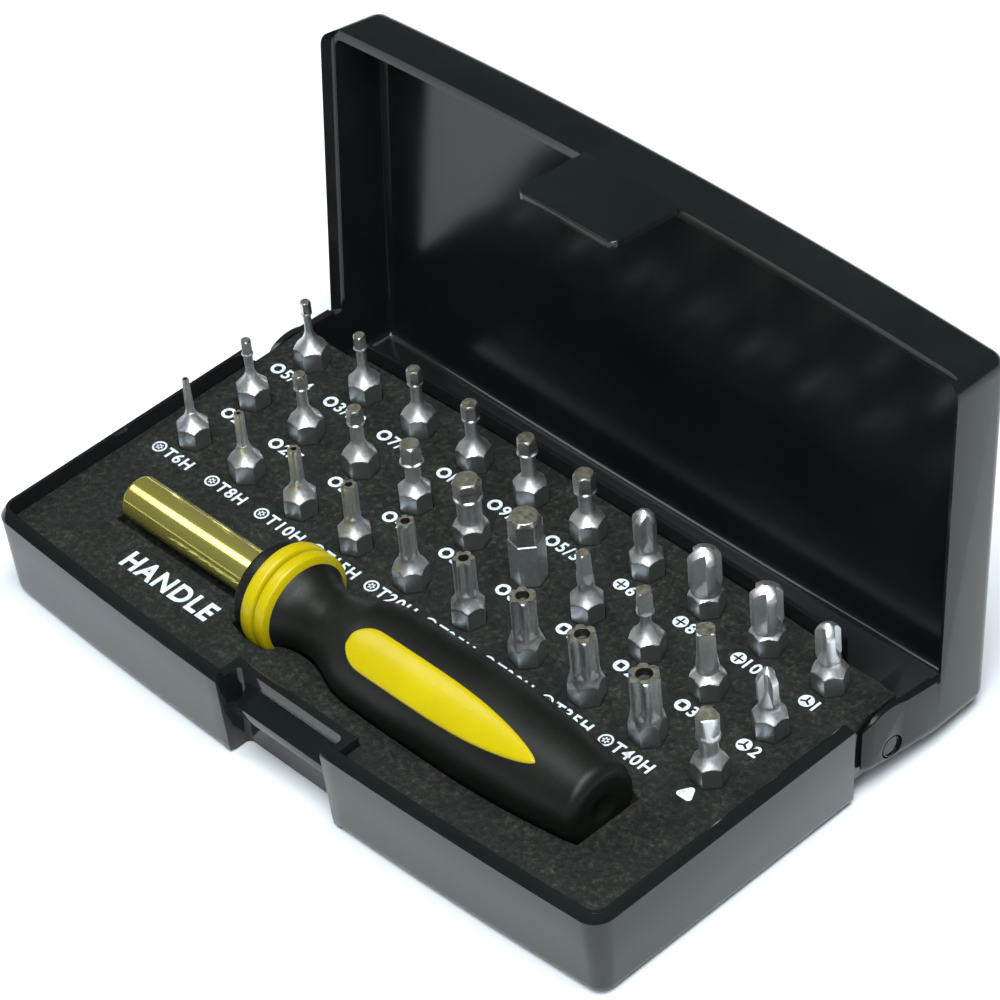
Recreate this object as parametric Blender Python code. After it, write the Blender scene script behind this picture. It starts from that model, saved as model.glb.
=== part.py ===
"""Security bit set: a hinged flat case with a soft insert, thirty 25 mm screwdriver
bits standing in it and one magnetic bit driver lying in a cradle.

Frame: origin at the middle of the case's underside, +X along the hinge line to the
right, +Y towards the hinge, +Z up. All dimensions below are in millimetres and are
turned into metres when a mesh is written. The lid is modelled closed and then turned
back about the hinge to its stop, which is how the set rests.
"""
import math

import bmesh
import bpy
from mathutils import Matrix, Vector

MM = 0.001

# ---------------------------------------------------------------- case
HALF_X = 84.17            # half of the case's length
Y_FRONT = -41.33          # front corners
BOW_FRONT = 2.86          # the front edge is bowed outwards by this in its middle
Y_SIDE_END = 25.55        # the base's side walls end here, the lid's lugs follow
Y_LID_BACK = 41.35        # back face of the lid at its corners
BOW_LID_BACK = 0.6
Y_MID_BACK = 41.15        # back face of the base between the lugs
BOW_MID_BACK = 2.3
CORNER_R = 4.5            # plan radius of the case's corners
WALL = 1.85
DRAFT = 1.0               # how far the side walls lean in, base and lid alike
FLOOR = 1.8
Z_INSERT = 17.5           # top face of the insert
Z_RIM = 19.29             # top of the base's outer wall
Z_LIP = 21.05             # top of the locating lip
LIP_IN = 1.15             # the lip's outer edge is set in by this
Z_LID_RIM = 19.6          # underside of the closed lid's wall
Z_LID_TOP = 35.0          # top of the closed lid
LID_WALL = 2.2
LID_TOP_R = 3.3           # round of the lid's top edge
Z_CEILING = 33.7          # inner face of the lid's panel
Z_LID_BACK = 22.9         # the lid's back wall starts here between the lugs

# ---------------------------------------------------------------- hinge
HINGE_Y = 35.85
HINGE_Z = 7.7
OPEN_DEG = 95.1           # from closed to the stop
PIN_R = 2.3
PIN_HOLE_R = 2.6
PIN_LEN = 6.0
X_LUG_IN = 82.2           # inner face of the lid's lugs
X_REAR = 81.7             # side face of the base between the lugs
X_NOTCH = 67.0            # the base is full depth inside this
X_LID_NOTCH = 67.8
LUG_R = 9.9               # lower front corner of the lug, about the hinge axis
LUG_FRONT = 9.4           # front edge of the lug ahead of the hinge axis
CORNER_CLEAR_R = 3.45     # the base's rear corner about the hinge axis

# ---------------------------------------------------------------- latch
RECESS_HALF = 14.6
TAB_HALF = 12.85
TAB_BOTTOM = 4.6
FRAME_OUT = 16.6
Y_FRAME_IN = -36.2
Y_FRAME_OUT = -38.0
Y_CATCH = -41.5

# ---------------------------------------------------------------- bits
PITCH_X = 15.904
PITCH_Y = 16.02
X_FIRST = -72.2
Y_ROW_C = 1.05
BIT_LEN = 25.0
BIT_TIP_Z = 33.3
HEX_AF = 6.35
HOLE_R = 4.1
HOLE_FLOOR_GAP = 0.3

# ---------------------------------------------------------------- driver
DRV_Y = -19.65
DRV_Z = 20.5
SHAFT_R = 4.7
X_SHAFT = -64.8           # front end of the bit holder
X_COLLAR = -25.7          # front face of the collar
X_RINGS = -22.4           # front face of the yellow rings
X_WAIST = -15.6
X_BUTT = 64.6
INLAY_ANGLE = 124.0       # direction of the first inlay, degrees from +Y towards +Z


# ================================================================ helpers
def clear_scene():
    for ob in list(bpy.data.objects):
        bpy.data.objects.remove(ob, do_unlink=True)


def mesh_object(name, verts, faces, material=None):
    me = bpy.data.meshes.new(name)
    me.from_pydata([tuple(c * MM for c in v) for v in verts], [], faces)
    me.validate()
    ob = bpy.data.objects.new(name, me)
    bpy.context.scene.collection.objects.link(ob)
    bm = bmesh.new()
    bm.from_mesh(me)
    bmesh.ops.recalc_face_normals(bm, faces=bm.faces)
    bm.to_mesh(me)
    bm.free()
    if material:
        me.materials.append(material)
    return ob


def loft(name, rings, material=None):
    """A closed solid through rings of equal point counts."""
    n = len(rings[0])
    verts = [p for ring in rings for p in ring]
    faces = []
    for i in range(len(rings) - 1):
        for k in range(n):
            a, b = i * n + k, i * n + (k + 1) % n
            faces.append((a, b, b + n, a + n))
    faces.append(tuple(range(n))[::-1])
    faces.append(tuple(range((len(rings) - 1) * n, len(rings) * n)))
    return mesh_object(name, verts, faces, material)


def prism(name, outline, z0, z1, material=None):
    return loft(name, [[(x, y, z0) for x, y in outline], [(x, y, z1) for x, y in outline]], material)


def prism_x(name, outline, x0, x1, material=None):
    """A profile of (y, z) points extruded along X."""
    return loft(name, [[(x0, y, z) for y, z in outline], [(x1, y, z) for y, z in outline]], material)


def box(name, x0, x1, y0, y1, z0, z1):
    return prism(name, [(x0, y0), (x1, y0), (x1, y1), (x0, y1)], z0, z1)


def apply_boolean(ob, other, operation, keep=False):
    mod = ob.modifiers.new("b", "BOOLEAN")
    mod.operation = operation
    mod.solver = "EXACT"
    mod.object = other
    graph = bpy.context.evaluated_depsgraph_get()
    done = bpy.data.meshes.new_from_object(ob.evaluated_get(graph))
    ob.modifiers.remove(mod)
    old = ob.data
    materials = [m for m in old.materials]
    ob.data = done
    done.name = ob.name
    if not done.materials:
        for m in materials:
            done.materials.append(m)
    bpy.data.meshes.remove(old)
    if not keep:
        bpy.data.objects.remove(other, do_unlink=True)
    return ob


def cut(ob, *others):
    for other in others:
        apply_boolean(ob, other, "DIFFERENCE")
    return ob


def join(ob, *others):
    for other in others:
        apply_boolean(ob, other, "UNION")
    return ob


def tidy(ob, smooth_deg=35.0):
    """Welds points that a Boolean left on each other and shades the round faces smooth."""
    me = ob.data
    bm = bmesh.new()
    bm.from_mesh(me)
    bmesh.ops.remove_doubles(bm, verts=bm.verts, dist=0.004 * MM)
    bmesh.ops.dissolve_degenerate(bm, edges=bm.edges, dist=0.004 * MM)
    bmesh.ops.triangulate(bm, faces=[f for f in bm.faces if len(f.verts) > 4])
    bmesh.ops.recalc_face_normals(bm, faces=bm.faces)
    bm.to_mesh(me)
    bm.free()
    me.shade_smooth()
    me.set_sharp_from_angle(angle=math.radians(smooth_deg))
    return ob


def principled(name, color, rough, metal=0.0, coat=0.0):
    mat = bpy.data.materials.new(name)
    mat.use_nodes = True
    bsdf = mat.node_tree.nodes["Principled BSDF"]
    bsdf.inputs["Base Color"].default_value = (*color, 1.0)
    bsdf.inputs["Roughness"].default_value = rough
    bsdf.inputs["Metallic"].default_value = metal
    bsdf.inputs["Coat Weight"].default_value = coat
    mat.diffuse_color = (*color, 1.0)
    return mat


# ================================================================ case outlines
def arc(cx, cy, r, a0, a1, n):
    return [
        (cx + r * math.cos(math.radians(a0 + (a1 - a0) * k / n)), cy + r * math.sin(math.radians(a0 + (a1 - a0) * k / n)))
        for k in range(n + 1)
    ]


def bowed(x, half, depth):
    return depth * (1 - (x / half) ** 2)


def case_outline(inset, y_back=Y_LID_BACK, bow_back=BOW_LID_BACK, front=10, back=8, turn=3):
    """The case's plan outline, anticlockwise from the front left, set in by inset."""
    hx = HALF_X - inset
    r = max(CORNER_R - inset, 1.0)
    yf = Y_FRONT + inset
    yb = y_back - inset
    xs = hx - r
    pts = []
    for k in range(front + 1):
        x = -xs + 2 * xs * k / front
        pts.append((x, yf - bowed(x, hx, BOW_FRONT)))
    fy = yf - bowed(xs, hx, BOW_FRONT)
    pts += arc(xs, fy + r, r, -90, 0, turn)[1:]
    by = yb + bowed(xs, hx, bow_back)
    pts += arc(xs, by - r, r, 0, 90, turn)
    for k in range(1, back + 1):
        x = xs - 2 * xs * k / back
        pts.append((x, yb + bowed(x, hx, bow_back)))
    pts += arc(-xs, by - r, r, 90, 180, turn)[1:]
    pts += arc(-xs, fy + r, r, 180, 270, turn)[:-1]
    return pts


def front_outline(inset, y_end, front=10, turn=3):
    """The same outline, but ended by a straight line at y_end."""
    hx = HALF_X - inset
    r = max(CORNER_R - inset, 1.0)
    yf = Y_FRONT + inset
    xs = hx - r
    pts = []
    for k in range(front + 1):
        x = -xs + 2 * xs * k / front
        pts.append((x, yf - bowed(x, hx, BOW_FRONT)))
    fy = yf - bowed(xs, hx, BOW_FRONT)
    pts += arc(xs, fy + r, r, -90, 0, turn)[1:]
    pts += [(hx, y_end), (-hx, y_end)]
    pts += arc(-xs, fy + r, r, 180, 270, turn)[:-1]
    return pts


def back_outline(half, y_near, y_back, bow, n=8):
    """A block from y_near to the bowed back line, half wide each way."""
    pts = [(-half, y_near), (half, y_near)]
    for k in range(n + 1):
        x = half - 2 * half * k / n
        pts.append((x, y_back + bowed(x, HALF_X, bow)))
    return pts


def at(outline, z):
    return [(x, y, z) for x, y in outline]


# ================================================================ base
def build_base(mat):
    base = loft(
        "case_base",
        [
            at(front_outline(DRAFT + 1.9, Y_SIDE_END), 0.0),
            at(front_outline(DRAFT + 0.6, Y_SIDE_END), 0.55),
            at(front_outline(DRAFT, Y_SIDE_END), 1.9),
            at(front_outline(0.0, Y_SIDE_END), Z_RIM),
            at(front_outline(LIP_IN, Y_SIDE_END), Z_LIP),
        ],
        mat,
    )
    corner = [(18.0, HINGE_Z - CORNER_CLEAR_R)]
    corner += arc(HINGE_Y, HINGE_Z, CORNER_CLEAR_R, -90, 0, 4)
    corner += [(HINGE_Y + CORNER_CLEAR_R, 15.3), (18.0, 15.3)]
    join(base, prism_x("rear_corners", corner, -X_REAR, X_REAR, mat))
    mid = loft(
        "rear_middle",
        [
            at(back_outline(X_NOTCH, 18.0, Y_MID_BACK - 1.4, BOW_MID_BACK), 0.0),
            at(back_outline(X_NOTCH, 18.0, Y_MID_BACK - 0.3, BOW_MID_BACK), 1.1),
            at(back_outline(X_NOTCH, 18.0, Y_MID_BACK, BOW_MID_BACK), 2.6),
            at(back_outline(X_NOTCH, 18.0, Y_MID_BACK, BOW_MID_BACK), Z_LIP),
        ],
        mat,
    )
    join(base, mid)
    # the tray's hollow, in three steps because the rear corners are shallow
    cut(
        base,
        loft("hollow_front", [at(front_outline(WALL + 0.6, Y_SIDE_END - WALL), FLOOR), at(front_outline(WALL, Y_SIDE_END - WALL), Z_LIP + 2)]),
        prism("hollow_middle", back_outline(X_NOTCH - 1.6, 18.0, Y_MID_BACK - 1.0, BOW_MID_BACK), FLOOR, Z_LIP + 2),
        box("hollow_corners", -X_REAR + 1.5, X_REAR - 1.5, 18.0, HINGE_Y + CORNER_CLEAR_R - 1.6, HINGE_Z - CORNER_CLEAR_R + 1.5, Z_LIP + 2),
        box("shoulder", -HALF_X + WALL, HALF_X - WALL, 12.0, 40.4, 15.3, Z_LIP + 2),
        prism("shoulder_middle", back_outline(X_NOTCH + 0.4, 18.0, Y_MID_BACK - 1.0, BOW_MID_BACK), 15.3, Z_LIP + 2),
    )
    # the latch recess with its frame and catch
    frame = box("latch_frame", -FRAME_OUT, FRAME_OUT, -42.9, Y_FRAME_IN, 0.6, Z_RIM)
    join(base, frame)
    recess = []
    for x, y in [(-RECESS_HALF, -50.0), (RECESS_HALF, -50.0)]:
        recess.append((x, y))
    recess += arc(RECESS_HALF - 1.2, Y_FRAME_OUT - 1.2, 1.2, 0, 90, 3)
    recess += arc(-RECESS_HALF + 1.2, Y_FRAME_OUT - 1.2, 1.2, 90, 180, 3)
    cut(base, prism("recess", recess, -2.0, Z_LIP + 3))
    catch = [(Y_FRAME_OUT + 0.8, 16.0), (Y_FRAME_OUT, 16.0), (Y_CATCH, 13.6), (Y_CATCH, 10.6), (Y_FRAME_OUT, 9.4), (Y_FRAME_OUT + 0.8, 9.4)]
    join(base, prism_x("catch", catch, -RECESS_HALF + 1.9, RECESS_HALF - 1.9, mat))
    cut(base, pin_hole("hole_l", -1), pin_hole("hole_r", 1))
    return tidy(base)


def pin_hole(name, side):
    pts = arc(HINGE_Y, HINGE_Z, PIN_HOLE_R, 0, 360, 16)[:-1]
    return prism_x(name, pts, *sorted((side * 76.0, side * 90.0)))


def build_pin(name, side, mat):
    pts = arc(HINGE_Y, HINGE_Z, PIN_R, 0, 360, 16)[:-1]
    small = arc(HINGE_Y, HINGE_Z, PIN_R - 0.35, 0, 360, 16)[:-1]
    x_out = side * (HALF_X - 0.75)
    x_in = x_out - side * PIN_LEN
    rings = [(x_in, small), (x_in + side * 0.35, pts), (x_out - side * 0.35, pts), (x_out, small)]
    return tidy(loft(name, [[(x, y, z) for y, z in ring] for x, ring in rings], mat))


# ================================================================ lid (closed, then opened)
def build_lid(mat):
    lean = DRAFT / (Z_LID_TOP - Z_LID_RIM)
    low = 0.15
    rings = [
        at(case_outline(DRAFT + 1.4), low),
        at(case_outline(DRAFT + 0.3), low + 1.2),
        at(case_outline(DRAFT * 0.85), low + 2.6),
        at(case_outline(0.0), Z_LID_RIM),
    ]
    z1 = Z_LID_TOP - LID_TOP_R
    rings.append(at(case_outline(lean * (z1 - Z_LID_RIM)), z1))
    for k in (1, 2, 3):
        a = math.radians(30 * k)
        inset = lean * (z1 - Z_LID_RIM) + LID_TOP_R * (1 - math.cos(a)) + 0.1
        rings.append(at(case_outline(inset), z1 + LID_TOP_R * math.sin(a)))
    lid = loft("case_lid", rings, mat)
    x, y = X_LUG_IN, 39.8
    cut(
        lid,
        loft(
            "lid_hollow",
            [
                at(case_outline(LID_WALL), Z_LIP + 0.35),
                at(case_outline(LID_WALL + 0.75), Z_CEILING - 2.0),
                at(case_outline(LID_WALL + 2.4), Z_CEILING),
            ],
        ),
        # the space between the lugs, below the hollow
        prism("lug_inside", [(-x, -60), (x, -60), (x, y - 0.4), (x - 0.4, y), (-x + 0.4, y), (-x, y - 0.4)], -2, Z_LIP + 0.6),
        # the rim's underside slopes up inwards, alongside the base's lip
        loft(
            "rim_bevel",
            [
                at(front_outline(-0.6, HINGE_Y - LUG_FRONT + 0.6), Z_LID_RIM - 0.7),
                at(front_outline(0.02, HINGE_Y - LUG_FRONT + 0.6), Z_LID_RIM + 0.2),
                at(front_outline(1.17, HINGE_Y - LUG_FRONT + 0.6), Z_LIP + 0.5),
                at(front_outline(LID_WALL + 0.1, HINGE_Y - LUG_FRONT + 0.6), Z_LIP + 0.55),
                at(front_outline(LID_WALL + 0.1, HINGE_Y - LUG_FRONT + 0.6), Z_LIP + 0.7),
            ],
        ),
    )
    # everything below the rim goes, except the lugs that carry the hinge
    a0 = 180 - math.degrees(math.asin(3.1 / LUG_R))
    front = [(-70.0, -6.0), (29.4, -6.0)] + arc(HINGE_Y, HINGE_Z, LUG_R, 230, a0, 6)
    front += [(HINGE_Y - LUG_FRONT, Z_LID_RIM), (-70.0, Z_LID_RIM)]
    cut(
        lid,
        prism_x("below_rim", front, -100, 100),
        # the lugs' lower inner edge is eased so that it swings under the base's corners
        prism_x("ease", [(39.6, -2.0), (40.9, -2.0), (39.6, 4.6)], -95.0, 95.0),
        box("back_gap", -X_LID_NOTCH, X_LID_NOTCH, 22.0, 60.0, -6.0, Z_LID_BACK),
    )
    # the tab that drops over the catch
    tab = [(-TAB_HALF, 26.0), (-TAB_HALF, TAB_BOTTOM + 2.0), (-TAB_HALF + 0.6, TAB_BOTTOM + 0.6), (-TAB_HALF + 2.0, TAB_BOTTOM)]
    tab += [(-x, z) for x, z in tab[::-1]]
    n = len(tab)
    y_face = Y_FRONT - BOW_FRONT
    rings = []
    for y, shrink in ((y_face + 0.08, 0.35), (y_face + 0.4, 0.0), (y_face + 1.75, 0.0)):
        rings.append([(x * (1 - shrink / TAB_HALF), y, z + (shrink if z < 20 else 0)) for x, z in tab])
    tab_ob = loft("tab", rings, mat)
    cut(tab_ob, prism_x("tab_trim", [(y_face - 2, 22.6), (y_face + 5, 22.6), (y_face + 5, 30.0), (y_face - 2, 30.0)], -20, 20))
    trim = loft("tab_front", [at([(-30, -60), (30, -60), (30, y_face + 0.0), (-30, y_face + 0.0)], 0), at([(-30, -60), (30, -60), (30, y_face + 0.0), (-30, y_face + 0.0)], 30)])
    cut(tab_ob, trim)
    join(lid, tab_ob)
    cut(lid, pin_hole("lid_hole_l", -1), pin_hole("lid_hole_r", 1))
    tidy(lid)
    # turn the closed lid back to its stop, with the object's origin on the hinge axis
    axis = Vector((0.0, HINGE_Y * MM, HINGE_Z * MM))
    lid.data.transform(Matrix.Translation(-axis))
    lid.location = axis
    lid.rotation_euler = (math.radians(-OPEN_DEG), 0.0, 0.0)
    return lid


# ================================================================ driver
def driver_profile():
    """(x, radius) down the handle, from the collar to the butt."""
    return [
        (X_COLLAR, 9.2), (X_COLLAR + 1.1, 10.2), (X_RINGS - 0.3, 10.3),
    ]


def grip_radius(x):
    """Radius of the rubber grip at x."""
    pts = [(X_WAIST, 9.6), (-13.2, 8.2), (-10.5, 7.55), (-7.5, 7.5), (-4.0, 8.2), (-0.5, 9.5), (3.5, 10.7), (9.0, 11.15), (22.0, 11.3), (36.0, 11.2), (45.0, 10.7), (53.0, 9.9), (59.0, 9.1), (X_BUTT, 8.3)]
    for (x0, r0), (x1, r1) in zip(pts, pts[1:]):
        if x <= x1:
            t = (x - x0) / (x1 - x0)
            return r0 + (r1 - r0) * t
    return pts[-1][1]


def grip_section(x, scale_add=0.0, n=24, dome=1.0):
    """Section of the grip: nearly round, with two low swellings that carry the inlays."""
    r0 = (grip_radius(x) + scale_add) * dome
    swell = max(0.0, min(1.0, (x + 6.0) / 14.0)) * 0.28
    ring = []
    for k in range(n):
        a = 2 * math.pi * k / n
        r = r0 + swell * (0.5 + 0.5 * math.cos(2 * (a - math.radians(INLAY_ANGLE))))
        ring.append((x, DRV_Y + r * math.cos(a), DRV_Z + r * math.sin(a)))
    return ring


GRIP_X = [X_WAIST, -13.2, -10.5, -7.5, -4.0, -0.5, 3.5, 9.0, 24.0, 40.0, 53.0, 61.8]


def grip_rings(add=0.0, n=24, xs=None, end=True):
    rings = [grip_section(x, add, n) for x in (xs or GRIP_X)]
    if end:
        for dx, f in ((1.3, 0.91), (2.4, 0.70)):
            rings.append([(61.8 + dx + add * 0.5, DRV_Y + (y - DRV_Y) * f, DRV_Z + (z - DRV_Z) * f) for _, y, z in grip_section(61.8, add, n)])
    return rings


def turned(name, profile, n=24, mat=None, y=DRV_Y, z=DRV_Z):
    return loft(name, [[(px, y + r * math.cos(2 * math.pi * k / n), z + r * math.sin(2 * math.pi * k / n)) for k in range(n)] for px, r in profile], mat)


def inlay_outline(grow=0.0):
    """Bullet outline along the handle as (x, half arc in degrees)."""
    pts = []
    x0, x1, w = 4.1 - grow, 53.3 + grow * 1.5, 23.0 + grow * 5.0
    for t in (0.0, 0.03, 0.12, 0.3, 0.45, 0.65, 0.82, 0.94, 1.0):
        if t < 0.12:
            h = w * math.sqrt(max(0.0, 1 - ((0.12 - t) / 0.12) ** 2))
        elif t < 0.45:
            h = w
        else:
            u = (t - 0.45) / 0.55
            h = w * (1 - u ** 1.9)
        pts.append((x0 + (x1 - x0) * t, max(h, 1.6)))
    return pts


def inlay_block(name, centre_deg, grow=0.0, r_in=4.0, r_add=0.2, mat=None, steps=4):
    """A bullet-shaped block that reaches from the core out to the grip's surface."""
    rings = []
    for x, half in inlay_outline(grow):
        top = grip_radius(x) + r_add + 0.28
        inner, outer = [], []
        for k in range(steps + 1):
            a = math.radians(centre_deg - half + 2 * half * k / steps)
            outer.append((x, DRV_Y + top * math.cos(a), DRV_Z + top * math.sin(a)))
            b = math.radians(centre_deg - half * 0.8 + 2 * half * 0.8 * k / steps)
            inner.append((x, DRV_Y + r_in * math.cos(b), DRV_Z + r_in * math.sin(b)))
        rings.append(outer + inner[::-1])
    return loft(name, rings, mat)


def build_driver(m_chrome, m_magnet, m_black, m_yellow, m_grip):
    n = 20
    # bit holder: tube with a hexagonal socket, magnet at the socket's floor
    shaft = turned("driver_shaft", [(X_SHAFT, SHAFT_R - 0.5), (X_SHAFT + 0.5, SHAFT_R), (X_COLLAR + 0.2, SHAFT_R), (X_COLLAR + 0.7, SHAFT_R - 1.2), (18.0, SHAFT_R - 1.2)], n, m_chrome)
    hexa = [(DRV_Y + 3.78 * math.cos(math.radians(60 * k)), DRV_Z + 3.78 * math.sin(math.radians(60 * k))) for k in range(6)]
    cut(shaft, prism_x("socket", hexa, X_SHAFT - 3, X_SHAFT + 11.5))
    cut(shaft, turned("magnet_seat", [(X_SHAFT + 8, 3.0), (X_SHAFT + 15.0, 3.0)], 16))
    tidy(shaft)
    magnet = tidy(turned("driver_magnet", [(X_SHAFT + 11.6, 2.45), (X_SHAFT + 11.85, 2.7), (X_SHAFT + 14.7, 2.7)], 16, m_magnet))
    # collar in front of the rings
    collar = turned("driver_collar", [(X_COLLAR, 9.5), (X_COLLAR + 0.9, 10.3), (X_RINGS - 0.3, 10.3)], n, m_black)
    cut(collar, turned("collar_bore", [(X_COLLAR - 2, SHAFT_R + 0.3), (X_COLLAR + 0.4, SHAFT_R + 0.3), (X_RINGS + 2, SHAFT_R + 0.3)], n))
    tidy(collar)
    # hard yellow core: two rings, a rod down the handle and the inlays that show through the grip
    core = turned(
        "driver_core",
        [
            (X_RINGS, 10.4), (X_RINGS + 0.4, 11.0), (X_RINGS + 1.2, 11.35), (X_RINGS + 2.4, 11.35), (X_RINGS + 2.95, 10.8), (X_RINGS + 3.1, 10.3),
            (X_RINGS + 3.4, 10.3), (X_RINGS + 3.55, 10.8), (X_RINGS + 4.0, 11.2), (X_RINGS + 5.2, 11.1), (X_RINGS + 6.05, 10.4), (X_WAIST - 0.3, 9.4), (X_WAIST - 0.25, 6.6), (56.0, 6.6), (57.0, 5.6),
        ],
        n,
        m_yellow,
    )
    for k in range(2):
        join(core, inlay_block("pad", INLAY_ANGLE + 180 * k, 0.0, 4.0, 0.12, m_yellow))
    cut(core, turned("core_bore", [(X_RINGS - 3, SHAFT_R + 0.3), (X_RINGS + 1.0, SHAFT_R + 0.3), (X_RINGS + 1.01, SHAFT_R - 0.9), (18.4, SHAFT_R - 0.9)], n))
    tidy(core)
    grip = loft("driver_grip", grip_rings(0.0, n), m_grip)
    cut(grip, turned("grip_bore", [(X_WAIST - 4, 6.9), (56.3, 6.9), (57.4, 5.9)], n))
    for k in range(2):
        cut(grip, inlay_block("window", INLAY_ANGLE + 180 * k, 0.8, 4.0, 1.6))
    tidy(grip)
    return [shaft, magnet, collar, core, grip]


def driver_space(grow):
    """Everything the driver needs, for the insert's cradle."""
    n = 20
    space = loft("driver_space", grip_rings(grow + 0.75, n, xs=[-15.9] + GRIP_X[1:]), None)
    join(space, turned("ring_space", [(X_COLLAR - 0.5, 9.9 + grow), (X_COLLAR + 0.8, 10.8 + grow), (X_RINGS + 1.5, 11.5 + grow), (X_RINGS + 5.6, 11.5 + grow), (X_WAIST + 0.6, 10.2 + grow)], n))
    return space


# ================================================================ insert
def build_insert(mat):
    g = 0.3
    plate = prism("insert", front_outline(WALL + g, Y_SIDE_END + 0.2), 15.6, Z_INSERT, mat)
    join(plate, prism("plate_rear", [(-X_REAR + 0.1, 15.0), (X_REAR - 0.1, 15.0), (X_REAR - 0.1, 39.3), (-X_REAR + 0.1, 39.3)], 15.6, Z_INSERT))
    join(plate, prism("plate_mid", back_outline(X_NOTCH - 0.2, 18.0, Y_MID_BACK - 1.0 - g, BOW_MID_BACK), 15.6, Z_INSERT))
    join(plate, prism("block_front", front_outline(WALL + 1.3, Y_SIDE_END - WALL - g - 0.2), 2.2, 16.4))
    join(plate, prism("block_mid", back_outline(X_NOTCH - 1.6 - g, 18.0, Y_MID_BACK - 1.6, BOW_MID_BACK), 2.2, 16.4))
    join(plate, box("block_corners", -77.4, 77.4, 18.0, HINGE_Y + CORNER_CLEAR_R - 1.6 - g, HINGE_Z - CORNER_CLEAR_R + 1.5 + g, 16.4))
    # clearance round the latch frame
    cut(plate, box("latch_clear", -FRAME_OUT - g, FRAME_OUT + g, -60.0, Y_FRAME_IN + g, 0.0, 30.0))
    # cradle for the driver: the part of it below the middle, opened straight up
    cut(plate, driver_space(0.0))
    cut(plate, box("shaft_trough", X_SHAFT - 1.2, X_COLLAR + 1.0, DRV_Y - 5.3, DRV_Y + 5.3, DRV_Z - SHAFT_R - 0.5, 40.0))
    holes = []
    for row in range(3):
        for col in range(10):
            cx, cy = X_FIRST + col * PITCH_X, Y_ROW_C + row * PITCH_Y
            holes.append(prism(f"hole_{row}_{col}", arc(cx, cy, HOLE_R, 0, 360, 12)[:-1], BIT_TIP_Z - BIT_LEN - HOLE_FLOOR_GAP, 30.0))
    first = holes[0]
    verts, faces = [], []
    for h in holes:
        off = len(verts)
        verts += [tuple(c / MM for c in v.co) for v in h.data.vertices]
        faces += [tuple(i + off for i in p.vertices) for p in h.data.polygons]
        bpy.data.objects.remove(h, do_unlink=True)
    cut(plate, mesh_object("holes", verts, faces))
    return tidy(plate)


# ================================================================ bits
def radius_of(kind, size, a):
    """Outline radius at angle a (radians) of a named cross section."""
    if kind == "c":
        return size / 2
    if kind == "h":
        b = (a + math.pi / 6) % (math.pi / 3) - math.pi / 6
        return size / 2 / math.cos(b)
    if kind == "s":
        return size / 2 / max(abs(math.cos(a)), abs(math.sin(a)))
    raise ValueError(kind)


def section(kind, size, cx, cy, z, rot):
    """Twelve points round the bit's axis."""
    pts = []
    if kind in ("c", "h", "s"):
        shift = math.radians(15) if kind == "s" else 0.0
        for k in range(12):
            a = math.pi / 6 * k + shift
            r = radius_of(kind, size, a)
            pts.append((r, a))
    elif kind == "t":  # six lobes
        for k in range(12):
            pts.append((size / 2 * (1.0 if k % 2 == 0 else 0.74), math.pi / 6 * k))
    elif kind == "x":  # offset cross
        d, v = size
        for j in range(4):
            b = math.pi / 2 * j
            pts += [(d / 2, b - 0.05), (d / 2, b + v), (d / 2 * 0.42, b + math.pi / 4 + 0.25)]
    elif kind == "y":  # three wings
        d, v = size
        for j in range(3):
            b = 2 * math.pi / 3 * j
            pts += [(d / 2, b - v), (d / 2, b + v), (d / 2 * 0.40, b + math.radians(50)), (d / 2 * 0.40, b + math.radians(70))]
    return [(cx + r * math.cos(a + rot), cy + r * math.sin(a + rot), z) for r, a in pts]


def build_bit(name, col, row, spec, rot_deg, mat):
    """spec is a list of (height above the insert, section kind, size), from the tip down,
    followed by the common hexagonal shank."""
    cx, cy = X_FIRST + col * PITCH_X, Y_ROW_C + row * PITCH_Y
    rot = math.radians(rot_deg)
    hole = spec.get("hole")
    rings = []
    z0 = Z_INSERT
    shank_top = spec.get("shank", 3.7)  # flat height of the hexagon above the insert
    rings.append(section("h", HEX_AF, cx, cy, BIT_TIP_Z - BIT_LEN, rot))
    rings.append(section("h", HEX_AF, cx, cy, z0 + shank_top, rot))
    for h, kind, size in spec["rings"]:
        rings.append(section(kind, size, cx, cy, z0 + h, rot))
    n = 12
    verts = [p for ring in rings for p in ring]
    faces = []
    for i in range(len(rings) - 1):
        for k in range(n):
            a, b = i * n + k, i * n + (k + 1) % n
            faces.append((a, b, b + n, a + n))
    faces.append(tuple(range(n))[::-1])
    top = (len(rings) - 1) * n
    if hole:
        zt = verts[top][2]
        off = len(verts)
        verts += section("c", hole, cx, cy, zt, rot)
        verts += section("c", hole * 0.9, cx, cy, zt - 1.8, rot)
        for k in range(n):
            a, b = top + k, top + (k + 1) % n
            c, d = off + k, off + (k + 1) % n
            faces.append((a, b, d, c))
            faces.append((c, d, d + n, c + n))
        faces.append(tuple(range(off + n, off + 2 * n)))
    else:
        faces.append(tuple(range(top, top + n)))
    ob = mesh_object(name, verts, faces, mat)
    ob.data.shade_smooth()
    ob.data.set_sharp_from_angle(angle=math.radians(28))
    # origin on the bit's own axis at the insert's top face
    off = Vector((cx * MM, cy * MM, Z_INSERT * MM))
    ob.data.transform(Matrix.Translation(-off))
    ob.location = off
    return ob


def hex_bit(af, tip=4.8):
    """Hexagon key tip on a round neck."""
    top = 15.8
    if af >= 6.0:
        return {"shank": 8.6, "rings": [(8.7, "c", 6.0), (9.3, "h", af), (top, "h", af)]}
    body = max(af + 0.9, 3.1)
    return {"rings": [(5.6, "c", max(4.5, body + 0.2)), (7.4, "c", body + 0.25), (top - tip - 0.5, "c", body - 0.1), (top - tip, "h", af), (top - 0.3, "h", af), (top, "h", af * 0.82)]}


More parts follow.
